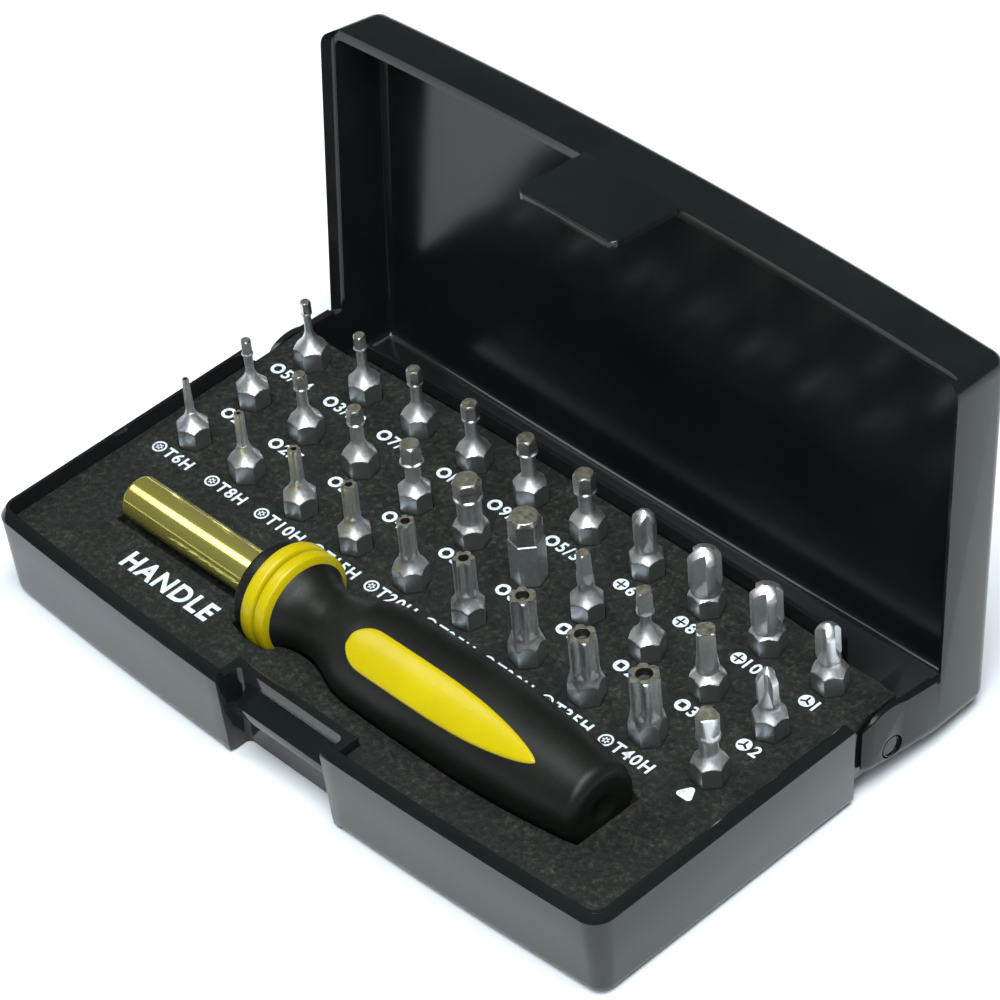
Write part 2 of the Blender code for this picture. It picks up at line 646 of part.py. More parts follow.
def lobe_bit(d, hole, length=8.0):
    top = 15.8
    body = max(d + 0.15, 3.0 if d < 4 else d + 0.15)
    if d >= 5.4:
        return {"hole": hole, "rings": [(5.4, "c", 5.5), (6.4, "c", d + 0.1), (8.0, "t", d), (top, "t", d - 0.2)]}
    return {"hole": hole, "rings": [(5.5, "c", 4.6), (7.2, "c", body + 0.2), (top - length, "c", body), (top - length + 1.6, "t", d), (top, "t", d - 0.2)]}


def square_bit(af, shoulder, length):
    top = 15.8
    body = max(af * 1.3, 3.4)
    return {"rings": [(5.6, "c", max(4.6, body)), (7.0, "c", body), (top - length, "c", body - 0.2), (top - length + shoulder, "s", af * 1.1), (top - 0.3, "s", af), (top, "s", af * 0.8)]}


def cross_bit(d):
    top = 15.8
    return {"rings": [(5.4, "c", min(5.6, d)), (6.4, "c", d * 0.96), (7.6, "c", d), (9.4, "x", (d, 0.30)), (top - 2.2, "x", (d, 0.30)), (top - 0.8, "x", (d * 0.84, 0.34)), (top, "x", (d * 0.5, 0.5))]}


def wing_bit(d, length):
    top = 15.8
    return {"rings": [(5.5, "c", 4.8), (6.8, "c", d + 0.2), (top - length, "c", d + 0.1), (top - length + 1.6, "y", (d, 0.24)), (top - 1.4, "y", (d * 0.92, 0.26)), (top - 0.5, "y", (d * 0.7, 0.34)), (top, "y", (d * 0.42, 0.5))]}


FLAT, CORNER = -40.0, -10.0   # which way a flat or a corner of the shank faces

BITS = [
    # name, column, row (0 front, 2 back), section data, shank direction
    ("bit_lobe_t6", 0, 0, lobe_bit(1.9, 0.6, 6.0), CORNER + 4),
    ("bit_lobe_t8", 1, 0, lobe_bit(2.3, 0.7, 6.6), FLAT - 6),
    ("bit_lobe_t10", 2, 0, lobe_bit(2.8, 0.8, 7.0), CORNER - 2),
    ("bit_lobe_t15", 3, 0, lobe_bit(3.3, 1.0, 7.4), CORNER + 3),
    ("bit_lobe_t20", 4, 0, lobe_bit(3.9, 1.2, 7.8), FLAT + 3),
    ("bit_lobe_t25", 5, 0, lobe_bit(4.4, 1.5, 8.0), CORNER - 4),
    ("bit_lobe_t30", 6, 0, lobe_bit(5.5, 1.8, 8.2), FLAT - 2),
    ("bit_lobe_t35", 7, 0, lobe_bit(5.8, 2.0, 8.2), FLAT + 5),
    ("bit_lobe_t40", 8, 0, lobe_bit(6.2, 2.3, 8.2), FLAT + 1),
    ("bit_triangle", 9, 0, {"rings": [(5.5, "c", 5.0), (6.8, "c", 4.9), (11.2, "c", 4.8), (12.4, "h", 4.6), (15.5, "h", 4.4), (15.8, "h", 3.8)]}, FLAT),
    ("bit_hex_2", 0, 1, hex_bit(2.0, 4.6), CORNER + 6),
    ("bit_hex_2p5", 1, 1, hex_bit(2.5, 4.7), FLAT + 3),
    ("bit_hex_3", 2, 1, hex_bit(3.0, 5.0), FLAT - 4),
    ("bit_hex_4", 3, 1, hex_bit(4.0, 5.8), CORNER + 2),
    ("bit_hex_5", 4, 1, hex_bit(5.0, 5.6), FLAT + 2),
    ("bit_hex_6", 5, 1, hex_bit(6.0, 6.4), FLAT - 1),
    ("bit_square_1", 6, 1, square_bit(2.3, 3.6, 5.0), CORNER - 3),
    ("bit_square_2", 7, 1, square_bit(2.8, 1.6, 5.4), FLAT + 4),
    ("bit_square_3", 8, 1, square_bit(3.4, 1.6, 6.6), FLAT - 3),
    ("bit_wing_2", 9, 1, wing_bit(4.4, 6.6), CORNER + 5),
    ("bit_hex_5_64", 0, 2, hex_bit(1.98, 4.4), FLAT + 2),
    ("bit_hex_3_32", 1, 2, hex_bit(2.38, 4.4), CORNER - 3),
    ("bit_hex_7_64", 2, 2, hex_bit(2.78, 4.6), FLAT - 5),
    ("bit_hex_1_8", 3, 2, hex_bit(3.18, 4.8), FLAT + 1),
    ("bit_hex_9_64", 4, 2, hex_bit(3.57, 4.8), CORNER + 8),
    ("bit_hex_5_32", 5, 2, hex_bit(3.97, 5.4), FLAT - 2),
    ("bit_cross_6", 6, 2, cross_bit(5.2), CORNER + 3),
    ("bit_cross_8", 7, 2, cross_bit(6.4), FLAT + 2),
    ("bit_cross_10", 8, 2, cross_bit(6.4), FLAT - 4),
    ("bit_wing_1", 9, 2, wing_bit(5.2, 6.0), FLAT + 5),
]


# ================================================================ build
def main():
    clear_scene()
    black = principled("case_black", (0.012, 0.014, 0.015), 0.16, 0.0, 0.6)
    foam = principled("insert_foam", (0.028, 0.032, 0.028), 0.85)
    steel = principled("bit_steel", (0.42, 0.42, 0.40), 0.38, 1.0)
    chrome = principled("shaft_chrome", (0.80, 0.78, 0.70), 0.08, 1.0)
    yellow = principled("handle_yellow", (0.85, 0.68, 0.02), 0.30, 0.0, 0.3)
    rubber = principled("grip_rubber", (0.016, 0.017, 0.016), 0.55)
    magnet = principled("magnet_grey", (0.30, 0.30, 0.31), 0.45, 1.0)
    build_base(black)
    build_lid(black)
    build_pin("hinge_pin_left", -1, black)
    build_pin("hinge_pin_right", 1, black)
    build_insert(foam)
    build_driver(chrome, magnet, rubber, yellow, rubber)
    for name, col, row, spec, rot in BITS:
        build_bit(name, col, row, spec, rot, steel)


main()
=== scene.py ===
import math

import bmesh
import bpy
import numpy as np
from mathutils import Matrix, Vector


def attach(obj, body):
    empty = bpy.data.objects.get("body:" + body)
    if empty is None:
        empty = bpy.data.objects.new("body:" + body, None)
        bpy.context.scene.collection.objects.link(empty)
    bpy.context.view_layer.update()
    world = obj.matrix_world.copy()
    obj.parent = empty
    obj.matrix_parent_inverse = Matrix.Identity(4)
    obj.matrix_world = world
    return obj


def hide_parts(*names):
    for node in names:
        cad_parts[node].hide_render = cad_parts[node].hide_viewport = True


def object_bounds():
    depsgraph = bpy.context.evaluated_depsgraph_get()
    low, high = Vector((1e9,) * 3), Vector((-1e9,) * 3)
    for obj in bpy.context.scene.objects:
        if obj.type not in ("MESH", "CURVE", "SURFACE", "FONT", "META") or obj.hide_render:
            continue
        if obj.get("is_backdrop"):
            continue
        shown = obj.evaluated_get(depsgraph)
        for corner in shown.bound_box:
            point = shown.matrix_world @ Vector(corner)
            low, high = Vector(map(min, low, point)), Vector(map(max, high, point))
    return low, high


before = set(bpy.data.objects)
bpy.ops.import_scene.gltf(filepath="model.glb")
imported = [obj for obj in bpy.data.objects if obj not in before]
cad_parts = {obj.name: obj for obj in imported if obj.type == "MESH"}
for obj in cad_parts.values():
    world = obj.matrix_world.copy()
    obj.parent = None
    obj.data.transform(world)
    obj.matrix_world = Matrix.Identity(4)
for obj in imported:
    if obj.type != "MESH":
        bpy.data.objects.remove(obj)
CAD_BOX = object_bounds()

MM = 0.001
scene = bpy.context.scene

# ------------------------------------------------------------------ dimensions (mm), as in the CAD
HALF_X, Y_FRONT, BOW_FRONT = 84.17, -41.33, 2.86
Y_SIDE_END, Y_LID_BACK, BOW_LID_BACK = 25.55, 41.35, 0.6
Y_MID_BACK, BOW_MID_BACK = 41.15, 2.3
CORNER_R, WALL, DRAFT, FLOOR = 4.5, 1.85, 1.0, 1.8
Z_INSERT, Z_RIM, Z_LIP, LIP_IN = 17.5, 19.29, 21.05, 1.15
Z_LID_RIM, Z_LID_TOP, LID_WALL, LID_TOP_R = 19.6, 35.0, 2.2, 3.3
Z_CEILING, Z_LID_BACK = 33.7, 22.9
HINGE_Y, HINGE_Z, OPEN_DEG = 35.85, 7.7, 95.1
PIN_R, PIN_HOLE_R, PIN_LEN = 2.3, 2.6, 6.0
X_LUG_IN, X_REAR, X_NOTCH, X_LID_NOTCH = 82.2, 81.7, 67.0, 67.8
LUG_R, LUG_FRONT, CORNER_CLEAR_R = 9.9, 9.4, 3.45
RECESS_HALF, TAB_HALF, TAB_BOTTOM, FRAME_OUT = 14.6, 12.85, 4.6, 16.6
Y_FRAME_IN, Y_FRAME_OUT, Y_CATCH = -36.2, -38.0, -41.5
PITCH_X, PITCH_Y, X_FIRST, Y_ROW_C = 15.904, 16.02, -72.2, 1.05
BIT_LEN, BIT_TIP_Z, HEX_AF = 25.0, 33.3, 6.35
DRV_Y, DRV_Z, SHAFT_R = -19.65, 20.5, 4.7
X_SHAFT, X_COLLAR, X_RINGS, X_WAIST, X_BUTT = -64.8, -25.7, -22.4, -15.6, 64.6
INLAY_ANGLE = 124.0


# ------------------------------------------------------------------ node helpers
class Mat:
    """A small helper round one material's node tree."""

    def __init__(self, name):
        self.mat = bpy.data.materials.new(name)
        self.mat.use_nodes = True
        self.t = self.mat.node_tree
        self.bsdf = self.t.nodes["Principled BSDF"]
        self.tc = self.t.nodes.new("ShaderNodeTexCoord")

    def put(self, **values):
        for key, v in values.items():
            self.bsdf.inputs[key.replace("_", " ")].default_value = v
        return self

    def new(self, kind, **settings):
        n = self.t.nodes.new(kind)
        for k, v in settings.items():
            setattr(n, k, v)
        return n

    def link(self, a, b):
        self.t.links.new(a, b)

    def noise(self, scale, detail=3.0, rough=0.55, stretch=None, distortion=0.0):
        n = self.new("ShaderNodeTexNoise")
        n.inputs["Scale"].default_value = scale
        n.inputs["Detail"].default_value = detail
        n.inputs["Roughness"].default_value = rough
        n.inputs["Distortion"].default_value = distortion
        if stretch:
            m = self.new("ShaderNodeMapping")
            m.inputs["Scale"].default_value = stretch
            self.link(self.tc.outputs["Object"], m.inputs["Vector"])
            self.link(m.outputs["Vector"], n.inputs["Vector"])
        else:
            self.link(self.tc.outputs["Object"], n.inputs["Vector"])
        return n.outputs["Fac"]

    def ramp(self, fac, *stops):
        r = self.new("ShaderNodeValToRGB")
        els = r.color_ramp.elements
        while len(els) < len(stops):
            els.new(0.5)
        for e, (p, c) in zip(els, stops):
            e.position = p
            e.color = (*c, 1.0) if len(c) == 3 else c
        self.link(fac, r.inputs["Fac"])
        return r.outputs["Color"]

    def maprange(self, fac, lo, hi, a=0.3, b=0.7):
        m = self.new("ShaderNodeMapRange")
        m.inputs["From Min"].default_value = a
        m.inputs["From Max"].default_value = b
        m.inputs["To Min"].default_value = lo
        m.inputs["To Max"].default_value = hi
        self.link(fac, m.inputs["Value"])
        return m.outputs["Result"]

    def add(self, a, b):
        m = self.new("ShaderNodeMath", operation="ADD")
        self.link(a, m.inputs[0])
        self.link(b, m.inputs[1])
        return m.outputs[0]

    def bump(self, height, strength, dist_mm, normal=None):
        b = self.new("ShaderNodeBump")
        b.inputs["Strength"].default_value = strength
        b.inputs["Distance"].default_value = dist_mm * MM
        self.link(height, b.inputs["Height"])
        if normal is not None:
            self.link(normal, b.inputs["Normal"])
        return b.outputs["Normal"]

    def colour(self, c):
        self.link(c, self.bsdf.inputs["Base Color"])
        return self

    def rough(self, r):
        self.link(r, self.bsdf.inputs["Roughness"])
        return self

    def normal(self, n):
        self.link(n, self.bsdf.inputs["Normal"])
        return self


def case_material(name, rough_lo, rough_hi):
    m = Mat(name)
    m.put(Specular_IOR_Level=0.5, IOR=1.52)
    grime = m.noise(38.0, 4.0, 0.6)
    m.colour(m.ramp(grime, (0.35, (0.0065, 0.0085, 0.0088)), (0.7, (0.010, 0.0125, 0.0125))))
    m.rough(m.add(m.maprange(m.noise(55.0, 5.0, 0.6), rough_lo, rough_hi), m.maprange(m.noise(900.0, 2.0, 0.5, stretch=(1.0, 0.15, 1.0)), 0.0, 0.025)))
    wave = m.bump(m.noise(26.0, 1.0, 0.4), 0.12, 0.5)
    m.normal(m.bump(m.noise(2600.0, 2.0, 0.5), 0.03, 0.05, wave))
    return m.mat


def foam_material():
    m = Mat("insert_foam_fine")
    m.put(Specular_IOR_Level=0.25)
    fine = m.noise(880.0, 4.0, 0.70)
    cloud = m.noise(75.0, 4.0, 0.6)
    both = m.add(m.maprange(fine, 0.0, 0.78, 0.34, 0.68), m.maprange(cloud, 0.0, 0.22, 0.32, 0.68))
    m.colour(m.ramp(both, (0.14, (0.0040, 0.0062, 0.0050)), (0.42, (0.0088, 0.0125, 0.0102)), (0.66, (0.0155, 0.0205, 0.0165)), (0.92, (0.043, 0.046, 0.033))))
    m.rough(m.maprange(fine, 0.62, 0.92))
    v = m.new("ShaderNodeTexVoronoi")
    v.inputs["Scale"].default_value = 1100.0
    m.link(m.tc.outputs["Object"], v.inputs["Vector"])
    pits = m.bump(v.outputs["Distance"], 0.25, 0.12)
    m.normal(m.bump(fine, 0.8, 0.45, pits))
    return m.mat


def steel_material(name, light, dark, lo, hi, spot=1500.0, metallic=1.0):
    m = Mat(name)
    m.put(Metallic=metallic)
    n1 = m.noise(spot, 4.0, 0.65)
    n2 = m.noise(190.0, 3.0, 0.6)
    both = m.add(m.maprange(n1, 0.0, 0.5), m.maprange(n2, 0.0, 0.5))
    m.colour(m.ramp(both, (0.15, dark), (0.85, light)))
    m.rough(m.maprange(n1, lo, hi))
    m.normal(m.bump(n1, 0.16, 0.04))
    return m.mat


def ground_material():
    """The machined lower part of a key tip: fine rings round the bit."""
    m = Mat("bit_tip_ground")
    m.put(Metallic=1.0)
    rings = m.noise(300.0, 3.0, 0.6, stretch=(0.3, 0.3, 9.0))
    spots = m.noise(1200.0, 3.0, 0.6)
    m.colour(m.ramp(spots, (0.3, (0.62, 0.63, 0.61)), (0.7, (0.80, 0.80, 0.77))))
    m.rough(m.maprange(rings, 0.24, 0.42))
    m.normal(m.bump(rings, 0.2, 0.05))
    return m.mat


def chrome_material():
    m = Mat("shaft_chrome_fine")
    m.put(Metallic=0.85)
    tone = m.noise(60.0, 3.0, 0.6)
    m.colour(m.ramp(tone, (0.3, (0.84, 0.74, 0.15)), (0.7, (0.92, 0.83, 0.25))))
    scr = m.noise(500.0, 3.0, 0.6, stretch=(0.05, 1.0, 1.0))
    m.rough(m.maprange(scr, 0.11, 0.18))
    m.normal(m.bump(scr, 0.03, 0.03))
    return m.mat


def yellow_material():
    m = Mat("handle_yellow_fine")
    m.put(Coat_Weight=0.10, Coat_Roughness=0.10, Specular_IOR_Level=0.25)
    n = m.noise(70.0, 4.0, 0.6)
    m.colour(m.ramp(n, (0.3, (0.49, 0.395, 0.0015)), (0.7, (0.55, 0.45, 0.003))))
    m.rough(m.maprange(m.noise(420.0, 3.0, 0.6), 0.24, 0.36))
    m.normal(m.bump(m.noise(300.0, 2.0, 0.5), 0.06, 0.08))
    return m.mat


def rubber_material():
    m = Mat("grip_rubber_fine")
    m.put(Specular_IOR_Level=0.30)
    n = m.noise(48.0, 4.0, 0.6)
    m.colour(m.ramp(n, (0.3, (0.0052, 0.0062, 0.0048)), (0.75, (0.0095, 0.0110, 0.0080))))
    grain = m.noise(2300.0, 3.0, 0.6)
    m.rough(m.add(m.maprange(n, 0.34, 0.44), m.maprange(grain, 0.0, 0.12)))
    m.normal(m.bump(grain, 0.22, 0.05))
    return m.mat


def print_material():
    m = Mat("size_mark_white")
    m.put(Specular_IOR_Level=0.3)
    n = m.noise(900.0, 4.0, 0.7)
    m.colour(m.ramp(n, (0.28, (0.34, 0.40, 0.44)), (0.5, (0.66, 0.74, 0.80))))
    m.rough(m.maprange(n, 0.5, 0.75))
    m.normal(m.bump(n, 0.3, 0.06))
    return m.mat


M_CASE = case_material("case_black_fine", 0.055, 0.105)
M_LID = case_material("lid_black_fine", 0.13, 0.18)
M_LID.node_tree.nodes["Principled BSDF"].inputs["Specular IOR Level"].default_value = 0.36
M_FOAM = foam_material()
M_STEEL = steel_material("bit_steel_fine", (0.86, 0.88, 0.89), (0.68, 0.70, 0.71), 0.36, 0.50)
M_TIP = ground_material()
M_END = steel_material("bit_end_face", (0.74, 0.72, 0.54), (0.58, 0.56, 0.41), 0.30, 0.45, 900.0)
M_CHROME = chrome_material()
M_YELLOW = yellow_material()
M_RUBBER = rubber_material()
M_WHITE = print_material()
# Hex shank flats below the flare: a darker copy of the bit steel, painted shade for the upright faces that the overhead
# light leaves darker than the flare.
M_SHANK_PAINTED_SHADE = steel_material("bit_shank_flats_painted_shade", (0.62, 0.64, 0.65), (0.53, 0.55, 0.56), 0.33, 0.38, 700.0)
# Dark steel painted as shade for hollows: the walls of the bits' tamper holes and the magnet deep in the holder's
# socket.
M_DARK_PAINTED_SHADE = steel_material("socket_painted_shade", (0.16, 0.16, 0.15), (0.08, 0.08, 0.075), 0.35, 0.5)


# ------------------------------------------------------------------ mesh helpers
def mesh_object(name, verts, faces, *mats, face_mats=None):
    me = bpy.data.meshes.new(name)
    me.from_pydata([tuple(c * MM for c in v) for v in verts], [], faces)
    for m in mats:
        me.materials.append(m)
    if face_mats is not None:
        me.polygons.foreach_set("material_index", face_mats)
    ob = bpy.data.objects.new(name, me)
    scene.collection.objects.link(ob)
    bm = bmesh.new()
    bm.from_mesh(me)
    bmesh.ops.recalc_face_normals(bm, faces=bm.faces)
    bm.to_mesh(me)
    bm.free()
    return ob


def loft(name, rings, *mats):
    n = len(rings[0])
    verts = [p for ring in rings for p in ring]
    faces = []
    for i in range(len(rings) - 1):
        for k in range(n):
            a, b = i * n + k, i * n + (k + 1) % n
            faces.append((a, b, b + n, a + n))
    faces.append(tuple(range(n))[::-1])
    faces.append(tuple(range((len(rings) - 1) * n, len(rings) * n)))
    return mesh_object(name, verts, faces, *mats)


def prism(name, outline, z0, z1, *mats):
    return loft(name, [[(x, y, z0) for x, y in outline], [(x, y, z1) for x, y in outline]], *mats)


def prism_x(name, outline, x0, x1, *mats):
    return loft(name, [[(x0, y, z) for y, z in outline], [(x1, y, z) for y, z in outline]], *mats)


def box(name, x0, x1, y0, y1, z0, z1):
    return prism(name, [(x0, y0), (x1, y0), (x1, y1), (x0, y1)], z0, z1)


def boolean(ob, other, operation):
    mod = ob.modifiers.new("b", "BOOLEAN")
    mod.operation = operation
    mod.solver = "EXACT"
    mod.object = other
    graph = bpy.context.evaluated_depsgraph_get()
    done = bpy.data.meshes.new_from_object(ob.evaluated_get(graph))
    ob.modifiers.remove(mod)
    old = ob.data
    mats = list(old.materials)
    ob.data = done
    if not done.materials:
        for m in mats:
            done.materials.append(m)
    bpy.data.meshes.remove(old)
    bpy.data.objects.remove(other, do_unlink=True)
    return ob


def cut(ob, *others):
    for o in others:
        boolean(ob, o, "DIFFERENCE")
    return ob


def join(ob, *others):
    for o in others:
        boolean(ob, o, "UNION")
    return ob


def apply_mods(ob):
    graph = bpy.context.evaluated_depsgraph_get()
    done = bpy.data.meshes.new_from_object(ob.evaluated_get(graph))
    ob.modifiers.clear()
    old = ob.data
    ob.data = done
    bpy.data.meshes.remove(old)
    return ob


def clean(ob, dist=0.004):
    bm = bmesh.new()
    bm.from_mesh(ob.data)
    bmesh.ops.remove_doubles(bm, verts=bm.verts, dist=dist * MM)
    bmesh.ops.dissolve_degenerate(bm, edges=bm.edges, dist=dist * MM)
    bmesh.ops.recalc_face_normals(bm, faces=bm.faces)
    bm.to_mesh(ob.data)
    bm.free()
    return ob


def round_edges(ob, width, segments=2, angle=32.0):
    clean(ob)
    mod = ob.modifiers.new("bevel", "BEVEL")
    mod.width = width * MM
    mod.segments = segments
    mod.limit_method = "ANGLE"
    mod.angle_limit = math.radians(angle)
    mod.use_clamp_overlap = True
    mod.harden_normals = False
    apply_mods(ob)
    return shade(ob, 40)


def shade(ob, deg=35.0):
    ob.data.shade_smooth()
    ob.data.set_sharp_from_angle(angle=math.radians(deg))
    return ob


def weighted(ob):
    mod = ob.modifiers.new("wn", "WEIGHTED_NORMAL")
    mod.keep_sharp = True
    mod.weight = 50
    return ob


def piece(ob, body, slot, *nodes):
    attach(ob, body)
    if nodes:
        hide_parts(*nodes)
    return ob


# ------------------------------------------------------------------ outlines
def arc(cx, cy, r, a0, a1, n):
    return [(cx + r * math.cos(math.radians(a0 + (a1 - a0) * k / n)), cy + r * math.sin(math.radians(a0 + (a1 - a0) * k / n))) for k in range(n + 1)]


def bowed(x, half, depth):
    return depth * (1 - (x / half) ** 2)


def case_outline(inset, y_back=Y_LID_BACK, bow_back=BOW_LID_BACK, front=36, back=24, turn=8):
    hx = HALF_X - inset
    r = max(CORNER_R - inset, 1.0)
    yf, yb, xs = Y_FRONT + inset, y_back - inset, HALF_X - inset - r
    pts = []
    for k in range(front + 1):
        x = -xs + 2 * xs * k / front
        pts.append((x, yf - bowed(x, hx, BOW_FRONT)))
    fy = yf - bowed(xs, hx, BOW_FRONT)
    pts += arc(xs, fy + r, r, -90, 0, turn)[1:]
    by = yb + bowed(xs, hx, bow_back)
    pts += arc(xs, by - r, r, 0, 90, turn)
    for k in range(1, back + 1):
        x = xs - 2 * xs * k / back
        pts.append((x, yb + bowed(x, hx, bow_back)))
    pts += arc(-xs, by - r, r, 90, 180, turn)[1:]
    pts += arc(-xs, fy + r, r, 180, 270, turn)[:-1]
    return pts


def front_outline(inset, y_end, front=36, turn=8):
    hx = HALF_X - inset
    r = max(CORNER_R - inset, 1.0)
    yf, xs = Y_FRONT + inset, HALF_X - inset - r
    pts = []
    for k in range(front + 1):
        x = -xs + 2 * xs * k / front
        pts.append((x, yf - bowed(x, hx, BOW_FRONT)))
    fy = yf - bowed(xs, hx, BOW_FRONT)
    pts += arc(xs, fy + r, r, -90, 0, turn)[1:]
    pts += [(hx, y_end), (-hx, y_end)]
    pts += arc(-xs, fy + r, r, 180, 270, turn)[:-1]
    return pts


def back_outline(half, y_near, y_back, bow, n=24):
    pts = [(-half, y_near), (half, y_near)]
    for k in range(n + 1):
        x = half - 2 * half * k / n
        pts.append((x, y_back + bowed(x, HALF_X, bow)))
    return pts


def at(outline, z):
    return [(x, y, z) for x, y in outline]


# ------------------------------------------------------------------ base
def pin_hole(name, side, r=PIN_HOLE_R):
    return prism_x(name, arc(HINGE_Y, HINGE_Z, r, 0, 360, 40)[:-1], *sorted((side * 76.0, side * 90.0)))


def build_base():
    base = loft("base_shell", [
        at(front_outline(DRAFT + 1.9, Y_SIDE_END), 0.0),
        at(front_outline(DRAFT + 1.0, Y_SIDE_END), 0.22),
        at(front_outline(DRAFT + 0.42, Y_SIDE_END), 0.75),
        at(front_outline(DRAFT + 0.12, Y_SIDE_END), 1.35),
        at(front_outline(DRAFT, Y_SIDE_END), 2.0),
        at(front_outline(0.0, Y_SIDE_END), Z_RIM),
        at(front_outline(LIP_IN, Y_SIDE_END), Z_LIP)], M_CASE)
    corner = [(18.0, HINGE_Z - CORNER_CLEAR_R)] + arc(HINGE_Y, HINGE_Z, CORNER_CLEAR_R, -90, 0, 12)
    corner += [(HINGE_Y + CORNER_CLEAR_R, 15.3), (18.0, 15.3)]
    join(base, prism_x("rear_corners", corner, -X_REAR, X_REAR, M_CASE))
    join(base, loft("rear_middle", [
        at(back_outline(X_NOTCH, 18.0, Y_MID_BACK - 1.4, BOW_MID_BACK), 0.0),
        at(back_outline(X_NOTCH, 18.0, Y_MID_BACK - 0.3, BOW_MID_BACK), 1.1),
        at(back_outline(X_NOTCH, 18.0, Y_MID_BACK, BOW_MID_BACK), 2.6),
        at(back_outline(X_NOTCH, 18.0, Y_MID_BACK, BOW_MID_BACK), Z_LIP)], M_CASE))
    cut(base,
        loft("c1", [at(front_outline(WALL + 0.6, Y_SIDE_END - WALL), FLOOR), at(front_outline(WALL, Y_SIDE_END - WALL), Z_LIP + 2)]),
        prism("c2", back_outline(X_NOTCH - 1.6, 18.0, Y_MID_BACK - 1.0, BOW_MID_BACK), FLOOR, Z_LIP + 2),
        box("c3", -X_REAR + 1.5, X_REAR - 1.5, 18.0, HINGE_Y + CORNER_CLEAR_R - 1.6, HINGE_Z - CORNER_CLEAR_R + 1.5, Z_LIP + 2),
        box("c4", -HALF_X + WALL, HALF_X - WALL, 12.0, 40.4, 15.3, Z_LIP + 2),
        prism("c5", back_outline(X_NOTCH + 0.4, 18.0, Y_MID_BACK - 1.0, BOW_MID_BACK), 15.3, Z_LIP + 2))
    # rounded ends of the side walls where they meet the lid's lugs
    for sx in (-1, 1):
        end = [(Y_SIDE_END + 1, 23.0), (Y_SIDE_END - 2.0, 23.0), (Y_SIDE_END - 2.0, Z_LIP)]
        end += [(Y_SIDE_END - 2.0 + 2.0 * math.sin(math.radians(a)), Z_LIP - 2.0 + 2.0 * math.cos(math.radians(a))) for a in range(10, 91, 10)]
        end += [(Y_SIDE_END + 1, Z_LIP - 2.0)]
        cut(base, prism_x("wall_end", end, *sorted((sx * 80.0, sx * 90.0))))
    join(base, box("latch_frame", -FRAME_OUT, FRAME_OUT, -42.9, Y_FRAME_IN, 0.6, Z_RIM))
    recess = [(-RECESS_HALF, -50.0), (RECESS_HALF, -50.0)]
    recess += arc(RECESS_HALF - 1.2, Y_FRAME_OUT - 1.2, 1.2, 0, 90, 8)
    recess += arc(-RECESS_HALF + 1.2, Y_FRAME_OUT - 1.2, 1.2, 90, 180, 8)
    cut(base, prism("recess", recess, -2.0, Z_LIP + 3))
    catch = [(Y_FRAME_OUT + 0.8, 16.0), (Y_FRAME_OUT, 16.0), (Y_CATCH, 12.5), (Y_CATCH, 10.6), (Y_FRAME_OUT, 9.4), (Y_FRAME_OUT + 0.8, 9.4)]
    join(base, prism_x("catch", catch, -RECESS_HALF + 1.9, RECESS_HALF - 1.9, M_CASE))
    cut(base, pin_hole("hl", -1), pin_hole("hr", 1))
    round_edges(base, 0.22, 3, 32)
    return piece(base, "case", "case_black", "case_base")


def build_pin(side):
    x_out = side * (HALF_X - 0.75)
    prof = []
    for k in range(5):
        a = math.radians(90 * k / 4)
        prof.append((x_out - side * 0.3 * (1 - math.sin(a)), PIN_R - 0.3 * (1 - math.cos(a))))
    prof += [(x_out - side * PIN_LEN, PIN_R)]
    n = 56
    rings = [[(x, HINGE_Y + r * math.cos(2 * math.pi * k / n), HINGE_Z + r * math.sin(2 * math.pi * k / n)) for k in range(n)] for x, r in prof]
    ob = shade(loft("pin_left" if side < 0 else "pin_right", rings, M_CASE), 35)
    return piece(ob, "case", "case_black", "hinge_pin_left" if side < 0 else "hinge_pin_right")


